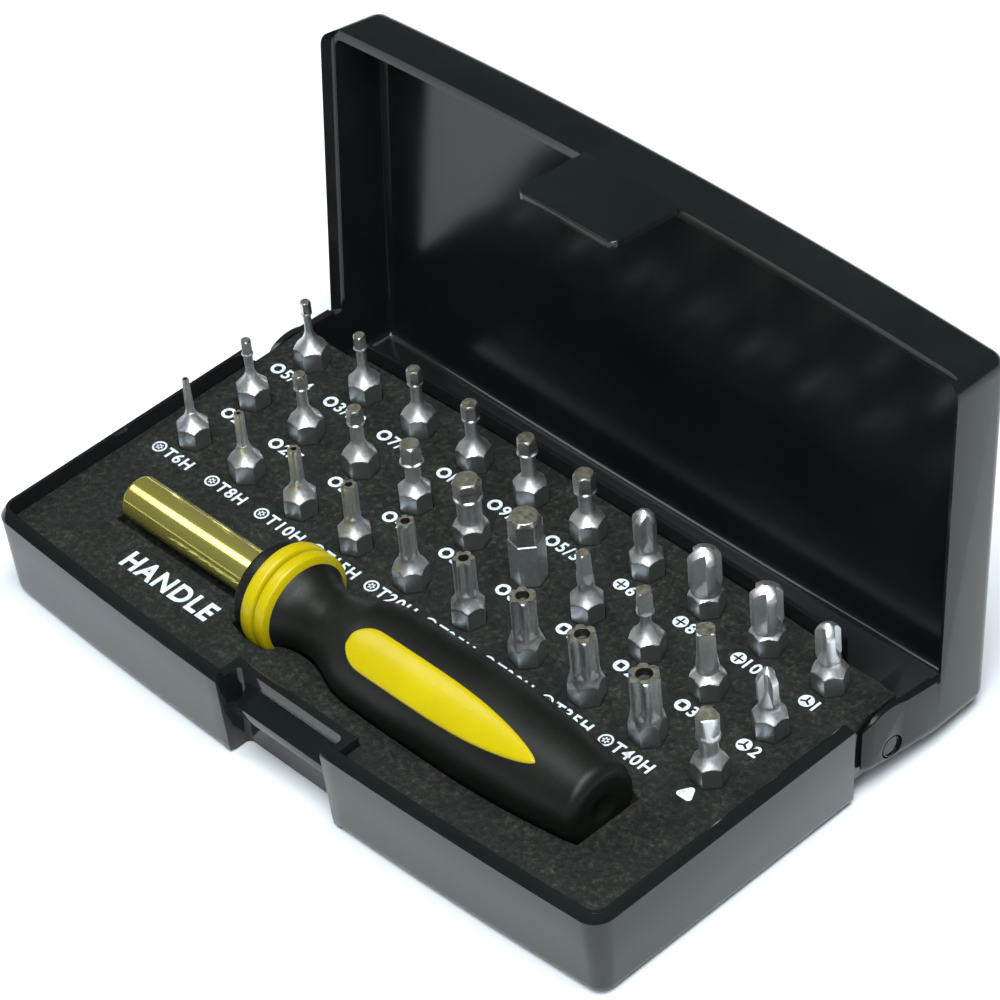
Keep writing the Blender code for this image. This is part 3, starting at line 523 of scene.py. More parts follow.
# ------------------------------------------------------------------ lid
def build_lid():
    lean = DRAFT / (Z_LID_TOP - Z_LID_RIM)
    low = 0.15
    rings = [
        at(case_outline(DRAFT + 1.4), low),
        at(case_outline(DRAFT + 0.75), low + 0.35),
        at(case_outline(DRAFT + 0.3), low + 1.2),
        at(case_outline(DRAFT * 0.85), low + 2.6),
        at(case_outline(0.0), Z_LID_RIM)]
    z1 = Z_LID_TOP - LID_TOP_R
    rings.append(at(case_outline(lean * (z1 - Z_LID_RIM)), z1))
    for k in range(1, 10):
        a = math.radians(10 * k)
        rings.append(at(case_outline(lean * (z1 - Z_LID_RIM) + LID_TOP_R * (1 - math.cos(a)) + 0.1), z1 + LID_TOP_R * math.sin(a)))
    lid = loft("lid_shell", rings, M_LID)
    hollow = [at(case_outline(LID_WALL), Z_LIP + 0.35), at(case_outline(LID_WALL + 0.75), Z_CEILING - 2.0)]
    for k in range(1, 6):
        a = math.radians(18 * k)
        hollow.append(at(case_outline(LID_WALL + 0.75 + 1.65 * (1 - math.cos(a))), Z_CEILING - 2.0 + 2.0 * math.sin(a)))
    x, y = X_LUG_IN, 39.8
    cut(lid,
        loft("h1", hollow),
        prism("h2", [(-x, -60), (x, -60), (x, y - 0.4), (x - 0.4, y), (-x + 0.4, y), (-x, y - 0.4)], -2, Z_LIP + 0.6),
        loft("h3", [
            at(front_outline(-0.6, HINGE_Y - LUG_FRONT + 0.6), Z_LID_RIM - 0.7),
            at(front_outline(0.02, HINGE_Y - LUG_FRONT + 0.6), Z_LID_RIM + 0.2),
            at(front_outline(1.17, HINGE_Y - LUG_FRONT + 0.6), Z_LIP + 0.5),
            at(front_outline(LID_WALL + 0.1, HINGE_Y - LUG_FRONT + 0.6), Z_LIP + 0.55),
            at(front_outline(LID_WALL + 0.1, HINGE_Y - LUG_FRONT + 0.6), Z_LIP + 0.7)]))
    a0 = 180 - math.degrees(math.asin(3.1 / LUG_R))
    front = [(-70.0, -6.0), (29.4, -6.0)] + arc(HINGE_Y, HINGE_Z, LUG_R, 230, a0, 18)
    front += [(HINGE_Y - LUG_FRONT, Z_LID_RIM), (-70.0, Z_LID_RIM)]
    cut(lid,
        prism_x("h4", front, -100, 100),
        prism_x("h5", [(39.6, -2.0), (40.9, -2.0), (39.6, 4.6)], -95.0, 95.0),
        box("h6", -X_LID_NOTCH, X_LID_NOTCH, 22.0, 60.0, -6.0, Z_LID_BACK))
    b = TAB_BOTTOM
    tab = [(-TAB_HALF, 26.0), (-TAB_HALF, b + 2.0)] + [(-TAB_HALF + 2.0 - 2.0 * math.cos(math.radians(t)), b + 2.0 - 2.0 * math.sin(math.radians(t))) for t in range(15, 91, 15)]
    tab += [(-px, pz) for px, pz in tab[::-1]]
    yf = Y_FRONT - BOW_FRONT
    rings = []
    for yy, shrink in ((yf + 0.11, 0.35), (yf + 0.22, 0.12), (yf + 0.42, 0.0), (yf + 1.75, 0.0)):
        rings.append([(px * (1 - shrink / TAB_HALF), yy, pz + (shrink if pz < 20 else 0)) for px, pz in tab])
    tab_ob = loft("tab", rings, M_LID)
    cut(tab_ob, prism_x("t1", [(yf - 2, 22.6), (yf + 5, 22.6), (yf + 5, 30.0), (yf - 2, 30.0)], -20, 20))
    join(lid, tab_ob)
    cut(lid, pin_hole("hl", -1), pin_hole("hr", 1))
    round_edges(lid, 0.22, 3, 32)
    axis = Vector((0.0, HINGE_Y * MM, HINGE_Z * MM))
    lid.data.transform(Matrix.Translation(axis) @ Matrix.Rotation(math.radians(-OPEN_DEG), 4, "X") @ Matrix.Translation(-axis))
    return piece(lid, "lid", "case_black", "case_lid")


# ------------------------------------------------------------------ driver
GRIP_PTS = [(X_WAIST, 9.6), (-13.2, 8.2), (-10.5, 7.55), (-7.5, 7.5), (-4.0, 8.2), (-0.5, 9.5), (3.5, 10.7), (9.0, 11.15), (22.0, 11.3), (36.0, 11.2), (45.0, 10.7), (53.0, 9.9), (59.0, 9.1), (X_BUTT, 8.3)]


def smooth_curve(points, n):
    """Monotone cubic through points, sampled at n places."""
    xs = np.array([p[0] for p in points]); ys = np.array([p[1] for p in points])
    h = np.diff(xs); d = np.diff(ys) / h
    m = np.zeros_like(xs); m[0], m[-1] = d[0], d[-1]
    for i in range(1, len(xs) - 1):
        m[i] = 0 if d[i - 1] * d[i] <= 0 else 3 * (h[i - 1] + h[i]) / ((2 * h[i] + h[i - 1]) / d[i - 1] + (h[i] + 2 * h[i - 1]) / d[i])
    out = []
    for x in np.linspace(xs[0], xs[-1], n):
        i = min(max(np.searchsorted(xs, x) - 1, 0), len(h) - 1)
        t = (x - xs[i]) / h[i]
        y = (2 * t**3 - 3 * t**2 + 1) * ys[i] + (t**3 - 2 * t**2 + t) * h[i] * m[i] + (-2 * t**3 + 3 * t**2) * ys[i + 1] + (t**3 - t**2) * h[i] * m[i + 1]
        out.append((float(x), float(y)))
    return out


GRIP_FINE = smooth_curve(GRIP_PTS, 220)
GX = np.array([p[0] for p in GRIP_FINE]); GR = np.array([p[1] for p in GRIP_FINE])


def grip_r(x, a):
    swell = max(0.0, min(1.0, (x + 6.0) / 14.0)) * 0.28
    return float(np.interp(x, GX, GR)) + swell * (0.5 + 0.5 * math.cos(2 * (a - math.radians(INLAY_ANGLE))))


def turned(name, profile, n, *mats):
    rings = [[(px, DRV_Y + r * math.cos(2 * math.pi * k / n), DRV_Z + r * math.sin(2 * math.pi * k / n)) for k in range(n)] for px, r in profile]
    return loft(name, rings, *mats)


def inlay_half(t):
    """Half arc in degrees of the inlay at 0..1 along it."""
    if t < 0.12:
        return 23.0 * math.sqrt(max(0.0, 1 - ((0.12 - t) / 0.12) ** 2))
    if t < 0.42:
        return 23.0
    return 23.0 * max(0.0, 1 - ((t - 0.42) / 0.58) ** 2.2) ** 0.62


INLAY_X0, INLAY_X1 = 4.1, 53.3


def build_driver():
    n = 112
    # shaft
    prof = [(X_SHAFT, SHAFT_R - 0.55), (X_SHAFT + 0.12, SHAFT_R - 0.25), (X_SHAFT + 0.35, SHAFT_R - 0.06), (X_SHAFT + 0.7, SHAFT_R), (X_COLLAR + 0.2, SHAFT_R), (X_COLLAR + 0.7, SHAFT_R - 1.2), (18.0, SHAFT_R - 1.2)]
    shaft = turned("holder_tube", prof, n, M_CHROME)
    hexa = [(DRV_Y + 3.78 * math.cos(math.radians(60 * k)), DRV_Z + 3.78 * math.sin(math.radians(60 * k))) for k in range(6)]
    cut(shaft, prism_x("socket", hexa, X_SHAFT - 3, X_SHAFT + 11.5))
    cut(shaft, turned("seat", [(X_SHAFT + 8, 3.0), (X_SHAFT + 15.0, 3.0)], 48))
    cut(shaft, turned("mouth", [(X_SHAFT - 0.4, 4.1), (X_SHAFT + 0.55, 3.35)], 64))
    piece(shade(clean(shaft), 30), "driver", "shaft_chrome", "driver_shaft")
    # The magnet deep in the socket uses the dark painted-shade steel.
    mag = turned("socket_magnet", [(X_SHAFT + 11.6, 2.3), (X_SHAFT + 11.66, 2.5), (X_SHAFT + 11.8, 2.63), (X_SHAFT + 12.0, 2.7), (X_SHAFT + 14.7, 2.7)], 64, M_DARK_PAINTED_SHADE)
    piece(shade(mag, 35), "driver", "magnet_grey", "driver_magnet")
    # collar
    prof = [(X_COLLAR, SHAFT_R + 0.25), (X_COLLAR, 9.3), (X_COLLAR + 0.15, 9.7), (X_COLLAR + 0.5, 10.05), (X_COLLAR + 1.0, 10.25), (X_COLLAR + 1.6, 10.3), (X_RINGS - 0.3, 10.3), (X_RINGS - 0.3, SHAFT_R + 0.25)]
    collar = ring_of("front_collar", prof, n, M_RUBBER)
    piece(shade(collar, 35), "driver", "grip_rubber", "driver_collar")
    # yellow rings
    def hump(x0, x1, r0, r1, k=9):
        return [(x0 + (x1 - x0) * (1 - math.cos(math.pi * i / k)) / 2, r0 + (r1 - r0) * math.sin(math.pi * i / k) ** 0.45) for i in range(k + 1)]
    prof = [(X_RINGS, SHAFT_R + 0.4)] + hump(X_RINGS, X_RINGS + 3.0, 10.15, 11.35) + [(X_RINGS + 3.05, 9.0), (X_RINGS + 3.45, 9.0)] + hump(X_RINGS + 3.5, X_RINGS + 6.35, 10.1, 11.2) + [(X_WAIST - 0.15, 9.7), (X_WAIST - 0.1, 6.0), (X_WAIST - 0.1, SHAFT_R + 0.4)]
    rings = ring_of("yellow_rings", prof, n, M_YELLOW)
    piece(shade(rings, 42), "driver", "handle_yellow", "driver_core")
    # rubber grip
    xs = [p for p in np.linspace(X_WAIST, 61.8, 120)]
    g = []
    for x in xs:
        g.append([(x, DRV_Y + grip_r(x, 2 * math.pi * k / n) * math.cos(2 * math.pi * k / n), DRV_Z + grip_r(x, 2 * math.pi * k / n) * math.sin(2 * math.pi * k / n)) for k in range(n)])
    last = g[-1]
    for k in range(1, 13):
        a = math.radians(90 * k / 12)
        f = 0.70 + 0.30 * math.cos(a)
        g.append([(61.8 + 2.55 * math.sin(a), DRV_Y + (y - DRV_Y) * f, DRV_Z + (z - DRV_Z) * f) for _, y, z in last])
    for f, dx in ((0.66, 0.0), (0.40, -0.05), (0.30, -0.15), (0.24, -0.55), (0.0001, -0.65)):
        g.append([(61.8 + 2.55 + dx, DRV_Y + (y - DRV_Y) * f, DRV_Z + (z - DRV_Z) * f) for _, y, z in last])
    g.insert(0, [(X_WAIST, DRV_Y + (y - DRV_Y) * 0.80, DRV_Z + (z - DRV_Z) * 0.80) for _, y, z in g[0]])
    grip = loft("rubber_grip", g, M_RUBBER)
    piece(shade(grip, 45), "driver", "grip_rubber", "driver_grip")
    # inlays that show through the grip
    for j in range(2):
        c = INLAY_ANGLE + 180 * j
        nu, nv = 90, 26
        verts, faces = [], []
        for i in range(nu + 1):
            t = 0.5 - 0.5 * math.cos(math.pi * i / nu)
            x = INLAY_X0 + (INLAY_X1 - INLAY_X0) * t
            half = max(inlay_half(t), 0.25)
            for k in range(nv + 1):
                s = -math.cos(math.pi * k / nv)
                a = math.radians(c + half * s)
                edge = min(1.0, (1 - abs(s)) * half * 0.195 / 0.9)        # mm from the long edges
                ends = min(1.0, min(t, 1 - t) * (INLAY_X1 - INLAY_X0) / 1.0)
                e = max(0.0, min(edge, ends))
                lift = -0.25 + 0.60 * math.sqrt(max(0.0, 1 - (1 - e) ** 2))
                r = grip_r(x, a) + lift
                verts.append((x, DRV_Y + r * math.cos(a), DRV_Z + r * math.sin(a)))
        for i in range(nu):
            for k in range(nv):
                p = i * (nv + 1) + k
                faces.append((p, p + 1, p + nv + 2, p + nv + 1))
        # underside closes the pad
        off = len(verts)
        for i in range(nu + 1):
            t = 0.5 - 0.5 * math.cos(math.pi * i / nu)
            x = INLAY_X0 + (INLAY_X1 - INLAY_X0) * t
            half = max(inlay_half(t), 0.25)
            for k in range(nv + 1):
                s = -math.cos(math.pi * k / nv)
                a = math.radians(c + half * s)
                r = grip_r(x, a) - 0.9
                verts.append((x, DRV_Y + r * math.cos(a), DRV_Z + r * math.sin(a)))
        for i in range(nu):
            for k in range(nv):
                p = off + i * (nv + 1) + k
                faces.append((p, p + nv + 1, p + nv + 2, p + 1))
        w = nv + 1
        for i in range(nu):
            for k in (0, nv):
                p, q = i * w + k, off + i * w + k
                faces.append((p, p + w, q + w, q))
        for k in range(nv):
            for i in (0, nu):
                p, q = i * w + k, off + i * w + k
                faces.append((p, p + 1, q + 1, q))
        pad = mesh_object(f"yellow_inlay_{j + 1}", verts, faces, M_YELLOW)
        piece(shade(pad, 60), "driver", "handle_yellow")


def ring_of(name, prof, n, *mats):
    """A closed profile turned about the driver's axis."""
    m = len(prof)
    verts = [(px, DRV_Y + r * math.cos(2 * math.pi * k / n), DRV_Z + r * math.sin(2 * math.pi * k / n)) for k in range(n) for px, r in prof]
    faces = []
    for k in range(n):
        for i in range(m):
            a, b = k * m + i, k * m + (i + 1) % m
            c, d = ((k + 1) % n) * m + (i + 1) % m, ((k + 1) % n) * m + i
            faces.append((a, b, c, d))
    return mesh_object(name, verts, faces, *mats)


# ------------------------------------------------------------------ insert
def build_insert():
    g = 0.3
    plate = prism("insert_block", front_outline(WALL + g, Y_SIDE_END + 0.2), 2.2, Z_INSERT, M_FOAM)
    join(plate, prism("p2", [(-X_REAR + 0.1, 15.0), (X_REAR - 0.1, 15.0), (X_REAR - 0.1, 39.3), (-X_REAR + 0.1, 39.3)], 15.6, Z_INSERT))
    join(plate, prism("p3", back_outline(X_NOTCH - 0.2, 18.0, Y_MID_BACK - 1.0 - g, BOW_MID_BACK), 15.6, Z_INSERT))
    join(plate, box("p4", -64.0, 64.0, 18.0, 39.0, 2.2, 16.4))
    join(plate, box("p5", -77.4, 77.4, 18.0, HINGE_Y + CORNER_CLEAR_R - 1.6 - g, HINGE_Z - CORNER_CLEAR_R + 1.5 + g, 16.4))
    cut(plate, box("under", -90, 90, Y_SIDE_END - WALL - 0.5, Y_SIDE_END + 0.6, 0.0, 15.6))
    join(plate, box("p6", -64.0, 64.0, 18.0, 36.0, 2.2, 16.4))
    join(plate, box("p7", -77.4, 77.4, 18.0, 34.0, HINGE_Z - CORNER_CLEAR_R + 1.5 + g, 16.4))
    cut(plate, box("latch_clear", -FRAME_OUT - g, FRAME_OUT + g, -60.0, Y_FRAME_IN + g, 0.0, 30.0))
    # cradle
    n = 64
    xs = [-15.9] + list(np.linspace(-13.2, 62.4, 30))
    rings = [[(x, DRV_Y + (grip_r(max(x, X_WAIST), 2 * math.pi * k / n) + 0.45) * math.cos(2 * math.pi * k / n), DRV_Z + (grip_r(max(x, X_WAIST), 2 * math.pi * k / n) + 0.45) * math.sin(2 * math.pi * k / n)) for k in range(n)] for x in xs]
    last = rings[-1]
    rings.append([(65.2, DRV_Y + (y - DRV_Y) * 0.93, DRV_Z + (z - DRV_Z) * 0.93) for _, y, z in last])
    cut(plate, loft("grip_space", rings))
    cut(plate, turned("ring_space", [(X_COLLAR - 0.6, 10.6), (X_RINGS + 1.0, 11.7), (X_RINGS + 5.8, 11.7), (X_WAIST + 0.9, 10.0)], 64))
    cut(plate, box("trough", X_SHAFT - 1.2, X_COLLAR + 1.0, DRV_Y - 5.3, DRV_Y + 5.3, DRV_Z - SHAFT_R - 0.5, 40.0))
    verts, faces = [], []
    for _, col, row, _, _, rot_deg, _ in BITS:
            cx, cy = X_FIRST + col * PITCH_X, Y_ROW_C + row * PITCH_Y
            rot = math.radians(rot_deg)
            ring = []
            for k in range(48):
                a = 2 * math.pi * k / 48
                rr = min(hex_r(a, HEX_AF + 0.36), 3.78)
                ring.append((cx + rr * math.cos(a + rot), cy + rr * math.sin(a + rot)))
            o = len(verts)
            m = len(ring)
            verts += [(x, y, BIT_TIP_Z - BIT_LEN - 0.3) for x, y in ring] + [(x, y, 30.0) for x, y in ring]
            faces += [(o + k, o + (k + 1) % m, o + m + (k + 1) % m, o + m + k) for k in range(m)]
            faces.append(tuple(o + k for k in range(m))[::-1])
            faces.append(tuple(o + m + k for k in range(m)))
    cut(plate, mesh_object("holes", verts, faces))
    round_edges(plate, 0.20, 2, 50)
    return piece(plate, "case", "insert_foam", "insert")


# ------------------------------------------------------------------ bits
N = 96
PHI = [2 * math.pi * k / N for k in range(N)]


def hex_r(a, af):
    b = (a + math.pi / 6) % (math.pi / 3) - math.pi / 6
    return af / 2 / math.cos(b)


def sq_r(a, af):
    b = (a + math.pi / 4) % (math.pi / 2) - math.pi / 4
    return min(af / 2 / math.cos(b), af / 2 * 1.37)


def lobe_r(a, d):
    c = 0.5 + 0.5 * math.cos(6 * a)
    ri, ro = d * 0.355, d * 0.5
    return ri + (ro - ri) * c ** 0.72


def wing_r(a, d, w, wings, offset):
    """Wings of width w; offset=True puts one face of each wing on the centre line."""
    per = 2 * math.pi / wings
    b = a % per
    core = d * 0.25
    if offset:
        v = min(d / 2, w / max(math.sin(b), 1e-3)) if b < math.pi / 2 else core
        if b > per - 0.05:
            v = d / 2
        return max(core, v)
    b = b if b < per / 2 else per - b
    v = min(d / 2, (w / 2) / max(math.sin(b), 1e-3)) if b < math.pi / 2 else core
    return max(core, v)


def smoothstep(t):
    t = max(0.0, min(1.0, t))
    return t * t * (3 - 2 * t)


def build_bit(name, node, col, row, kind, p, rot_deg, lean=(0.0, 0.0)):
    cx, cy = X_FIRST + col * PITCH_X, Y_ROW_C + row * PITCH_Y
    rot = math.radians(rot_deg)
    tip_rot = rot
    top = 15.8
    neck, zf = p.get("neck", 1.5), p.get("zf", 6.8)
    power = 1.25 + 0.5 * max(0.0, min(1.0, (zf - 6.6) / 2.2))

    def flare(z):
        if z <= 4.1:
            return 3.667 + (4.1 - z) * 0.95
        if z >= zf:
            return neck
        return neck + (3.667 - neck) * ((zf - z) / (zf - 4.1)) ** power

    levels = []   # (z, function of angle, material of the band above)
    def add(z, f, m=0):
        levels.append((z, f, m))

    shank = lambda z: (lambda a, z=z: min(hex_r(a, HEX_AF), flare(z)))
    add(-9.2, lambda a: min(hex_r(a, HEX_AF), 3.05))
    add(-8.7, lambda a: min(hex_r(a, HEX_AF), 3.60))
    add(0.2, shank(0.2))
    if kind == "hex" and p["af"] >= 5.9:
        # the key hexagon is ground on the shank itself
        zc = top - p["tip"]
        add(zc - 0.45, lambda a: hex_r(a, HEX_AF))
        add(zc - 0.08, lambda a: hex_r(a, HEX_AF))
        add(zc + 0.12, lambda a: hex_r(a, 6.02), 1)
        for k in range(1, 15):
            z = zc + 0.12 + (p["tip"] - 1.1) * k / 15
            d = 0.035 * (1 if k % 2 else -1)
            add(z, lambda a, d=d: min(hex_r(a, 5.98 + d), 3.40), 1)
        add(top - 0.80, lambda a: min(hex_r(a, 5.98), 3.42), 1)
        add(top - 0.10, lambda a: min(hex_r(a, 5.98), 2.80), 1)
        add(top, lambda a: min(hex_r(a, 5.98), 2.68), 2)
    else:
        zs = list(np.linspace(3.2, 4.6, 9)) + list(np.linspace(4.75, zf, 12))
        for z in zs:
            add(z, shank(z))
    if kind == "hex" and p["af"] < 5.9:
        af, tip, col_r = p["af"], p["tip"], p["collar"]
        zc = top - tip
        add(zc - 0.85, lambda a: neck * 1.0)
        add(zc - 0.45, lambda a: neck + (col_r - neck) * 0.45)
        add(zc - 0.16, lambda a: col_r)
        add(zc - 0.02, lambda a: col_r * 0.985)
        add(zc + 0.22, lambda a: min(hex_r(a, af), col_r), 1)
        add(zc + 0.24, lambda a: hex_r(a, af), 1)
        ch = min(0.6, af * 0.17)
        for k in range(1, 4):
            add(zc + 0.24 + (tip - 0.24 - ch) * k / 3, lambda a: min(hex_r(a, af), af * 0.577), 1)
        for k in range(1, 5):
            add(top - ch + ch * k / 4, lambda a, k=k: min(hex_r(a, af), af * (0.577 - 0.125 * k / 4)), 1)
    elif kind == "lobe":
        d, hole, zr0, zr1, body = p["d"], p["hole"], p["r0"], p["r1"], p.get("body", None)
        body = body or d / 2 + 0.05
        if zf < zr0:
            add((zf + zr0) / 2, lambda a: neck)
        for k in range(0, 13):
            z = zr0 + (zr1 - zr0) * k / 12
            core = 0.355 * d + (body - 0.355 * d) * (1 - smoothstep((z - zr0) / (zr1 - zr0))) ** 1.3
            env = neck + (body - neck) * smoothstep((z - zr0) / max(0.6, (zr1 - zr0) * 0.5))
            add(z, lambda a, core=core, env=env: min(max(lobe_r(a, d), core), max(env, core * 0.0 + neck)))
        taper = p.get("taper", 0.0)
        for k in range(1, 9):
            t = k / 8
            z = zr1 + (top - 0.28 - zr1) * t
            add(z, lambda a, t=t: lobe_r(a, d * (1 - taper * t)), 0)
        for k in range(1, 4):
            t = k / 3
            add(top - 0.28 + 0.28 * t, lambda a, t=t: min(lobe_r(a, d * (1 - taper)), d * (1 - taper) * (0.5 - 0.045 * t)), 1)
    elif kind == "square":
        af, zr0, zr1, body, tapered = p["af"], p["r0"], p["r1"], p["body"], p.get("taper", 0.0)
        if zf < zr0:
            add((zf + zr0) / 2, lambda a: neck)
        for k in range(0, 15):
            t = k / 14
            z = zr0 + (zr1 - zr0) * t
            env = neck + (body - neck) * smoothstep(t * 2.2)
            flat = af / 2 + (body * 1.02 - af / 2) * (1 - smoothstep(t)) ** 1.2
            add(z, lambda a, env=env, flat=flat: min(env, sq_r(a, flat * 2)))
        for k in range(1, 7):
            t = k / 6
            z = zr1 + (top - 0.35 - zr1) * t
            add(z, lambda a, t=t: min(body, sq_r(a, af * (1 - tapered * t))), 0)
        for k in range(1, 4):
            t = k / 3
            s = af * (1 - tapered)
            add(top - 0.35 + 0.35 * t, lambda a, t=t, s=s: min(sq_r(a, s), s * (0.70 - 0.16 * t)), 1)
    elif kind in ("cross", "wing"):
        d, w, wings, off, zr0, zr1, dome = p["d"], p["w"], p["wings"], p["off"], p["r0"], p["r1"], p["dome"]
        body = d / 2
        if zf < zr0:
            add((zf + zr0) / 2, lambda a: neck)
        for k in range(0, 17):
            t = k / 16
            z = zr0 + (zr1 - zr0) * t
            env = neck + (body - neck) * smoothstep(t * 2.4)
            core = d * 0.25 + (body - d * 0.25) * (1 - t) ** 1.15
            add(z, lambda a, env=env, core=core: min(env, max(wing_r(a, d, w, wings, off), core)))
        zt = top - dome
        for k in range(1, 7):
            z = zr1 + (zt - zr1) * k / 6
            add(z, lambda a: wing_r(a, d, w, wings, off))
        for k in range(1, 11):
            t = k / 10
            env = d / 2 * (1 - t ** 1.7 * p.get("nose", 0.55))
            add(zt + dome * t, lambda a, env=env: min(env, wing_r(a, d, w, wings, off)), 1 if k == 10 else 0)
    elif kind == "stub":
        zc = 11.2
        add(zf + 0.6, lambda a: neck)
        for k in range(5):
            add(9.2 + 1.2 * k / 4, lambda a, k=k: neck + (2.35 - neck) * smoothstep(k / 4))
        add(10.9, lambda a: 2.35)
        add(11.2, lambda a: 2.28, 1)
        add(11.5, lambda a: 2.15, 1)
        tri = lambda a, s: min(2.22, s / max(math.cos((a + math.pi / 3) % (2 * math.pi / 3) - math.pi / 3), 0.3))
        add(11.7, lambda a: tri(a, 2.06), 0)
        add(15.3, lambda a: tri(a, 2.02), 0)
        add(15.62, lambda a: tri(a, 1.92), 1)
        add(15.8, lambda a: tri(a, 1.70), 2)
    # build
    lx, ly = math.tan(math.radians(lean[0])), math.tan(math.radians(lean[1]))
    levels.sort(key=lambda l: l[0])
    verts, faces, fm = [], [], []
    for z, f, _ in levels:
        for a in PHI:
            r = f(a)
            verts.append((cx + r * math.cos(a + rot) + lx * max(z, 0), cy + r * math.sin(a + rot) + ly * max(z, 0), Z_INSERT + z))
    for i in range(len(levels) - 1):
        for k in range(N):
            a, b = i * N + k, i * N + (k + 1) % N
            faces.append((a, b, b + N, a + N))
            am = (PHI[k] + PHI[(k + 1) % N] + (2 * math.pi if k == N - 1 else 0)) / 2
            zm = (levels[i][0] + levels[i + 1][0]) / 2
            # Exposed hex flats take the darker steel copy, which is painted shade.
            flat_face = zm < 5.0 and flare(zm) >= hex_r(am, HEX_AF)
            fm.append(4 if flat_face else (1 if levels[i + 1][2] >= 1 and levels[i][2] >= 1 else 0))
    faces.append(tuple(range(N))[::-1]); fm.append(0)
    tb = (len(levels) - 1) * N
    tz = Z_INSERT + levels[-1][0]
    tx, ty = cx + lx * levels[-1][0], cy + ly * levels[-1][0]
    if p.get("hole"):
        prev = tb
        h = p["hole"] / 2
        for rr, dz in ((h + 0.06, 0.0), (h, -0.06), (h * 0.97, -1.8), (0.02, -2.0)):
            o = len(verts)
            verts += [(tx + rr * math.cos(a + rot), ty + rr * math.sin(a + rot), tz + dz) for a in PHI]
            for k in range(N):
                faces.append((prev + k, prev + (k + 1) % N, o + (k + 1) % N, o + k))
                # Walls of the tamper hole below its rim use the dark painted-shade steel.
                fm.append(2 if dz == 0.0 else 3)
            prev = o
        faces.append(tuple(range(prev, prev + N))); fm.append(3)
    else:
        o = len(verts)
        verts += [(tx + (x - tx) * 0.5, ty + (y - ty) * 0.5, tz) for x, y, _ in verts[tb:tb + N]]
        cap = 1 if kind in ("cross", "wing") else 2
        for k in range(N):
            faces.append((tb + k, tb + (k + 1) % N, o + (k + 1) % N, o + k)); fm.append(cap)
        faces.append(tuple(range(o, o + N))); fm.append(cap)
    ob = mesh_object(name, verts, faces, M_STEEL, M_TIP, M_END, M_DARK_PAINTED_SHADE, M_SHANK_PAINTED_SHADE, face_mats=fm)
    shade(ob, 26)
    return piece(ob, node, "bit_steel", node)


def key(af, tip, neck, collar, zf):
    return {"af": af, "tip": tip, "neck": neck, "collar": collar, "zf": zf}


def lobe(d, hole, r0, r1, neck, zf, **more):
    return dict({"d": d, "hole": hole, "r0": r0, "r1": r1, "neck": neck, "zf": zf}, **more)


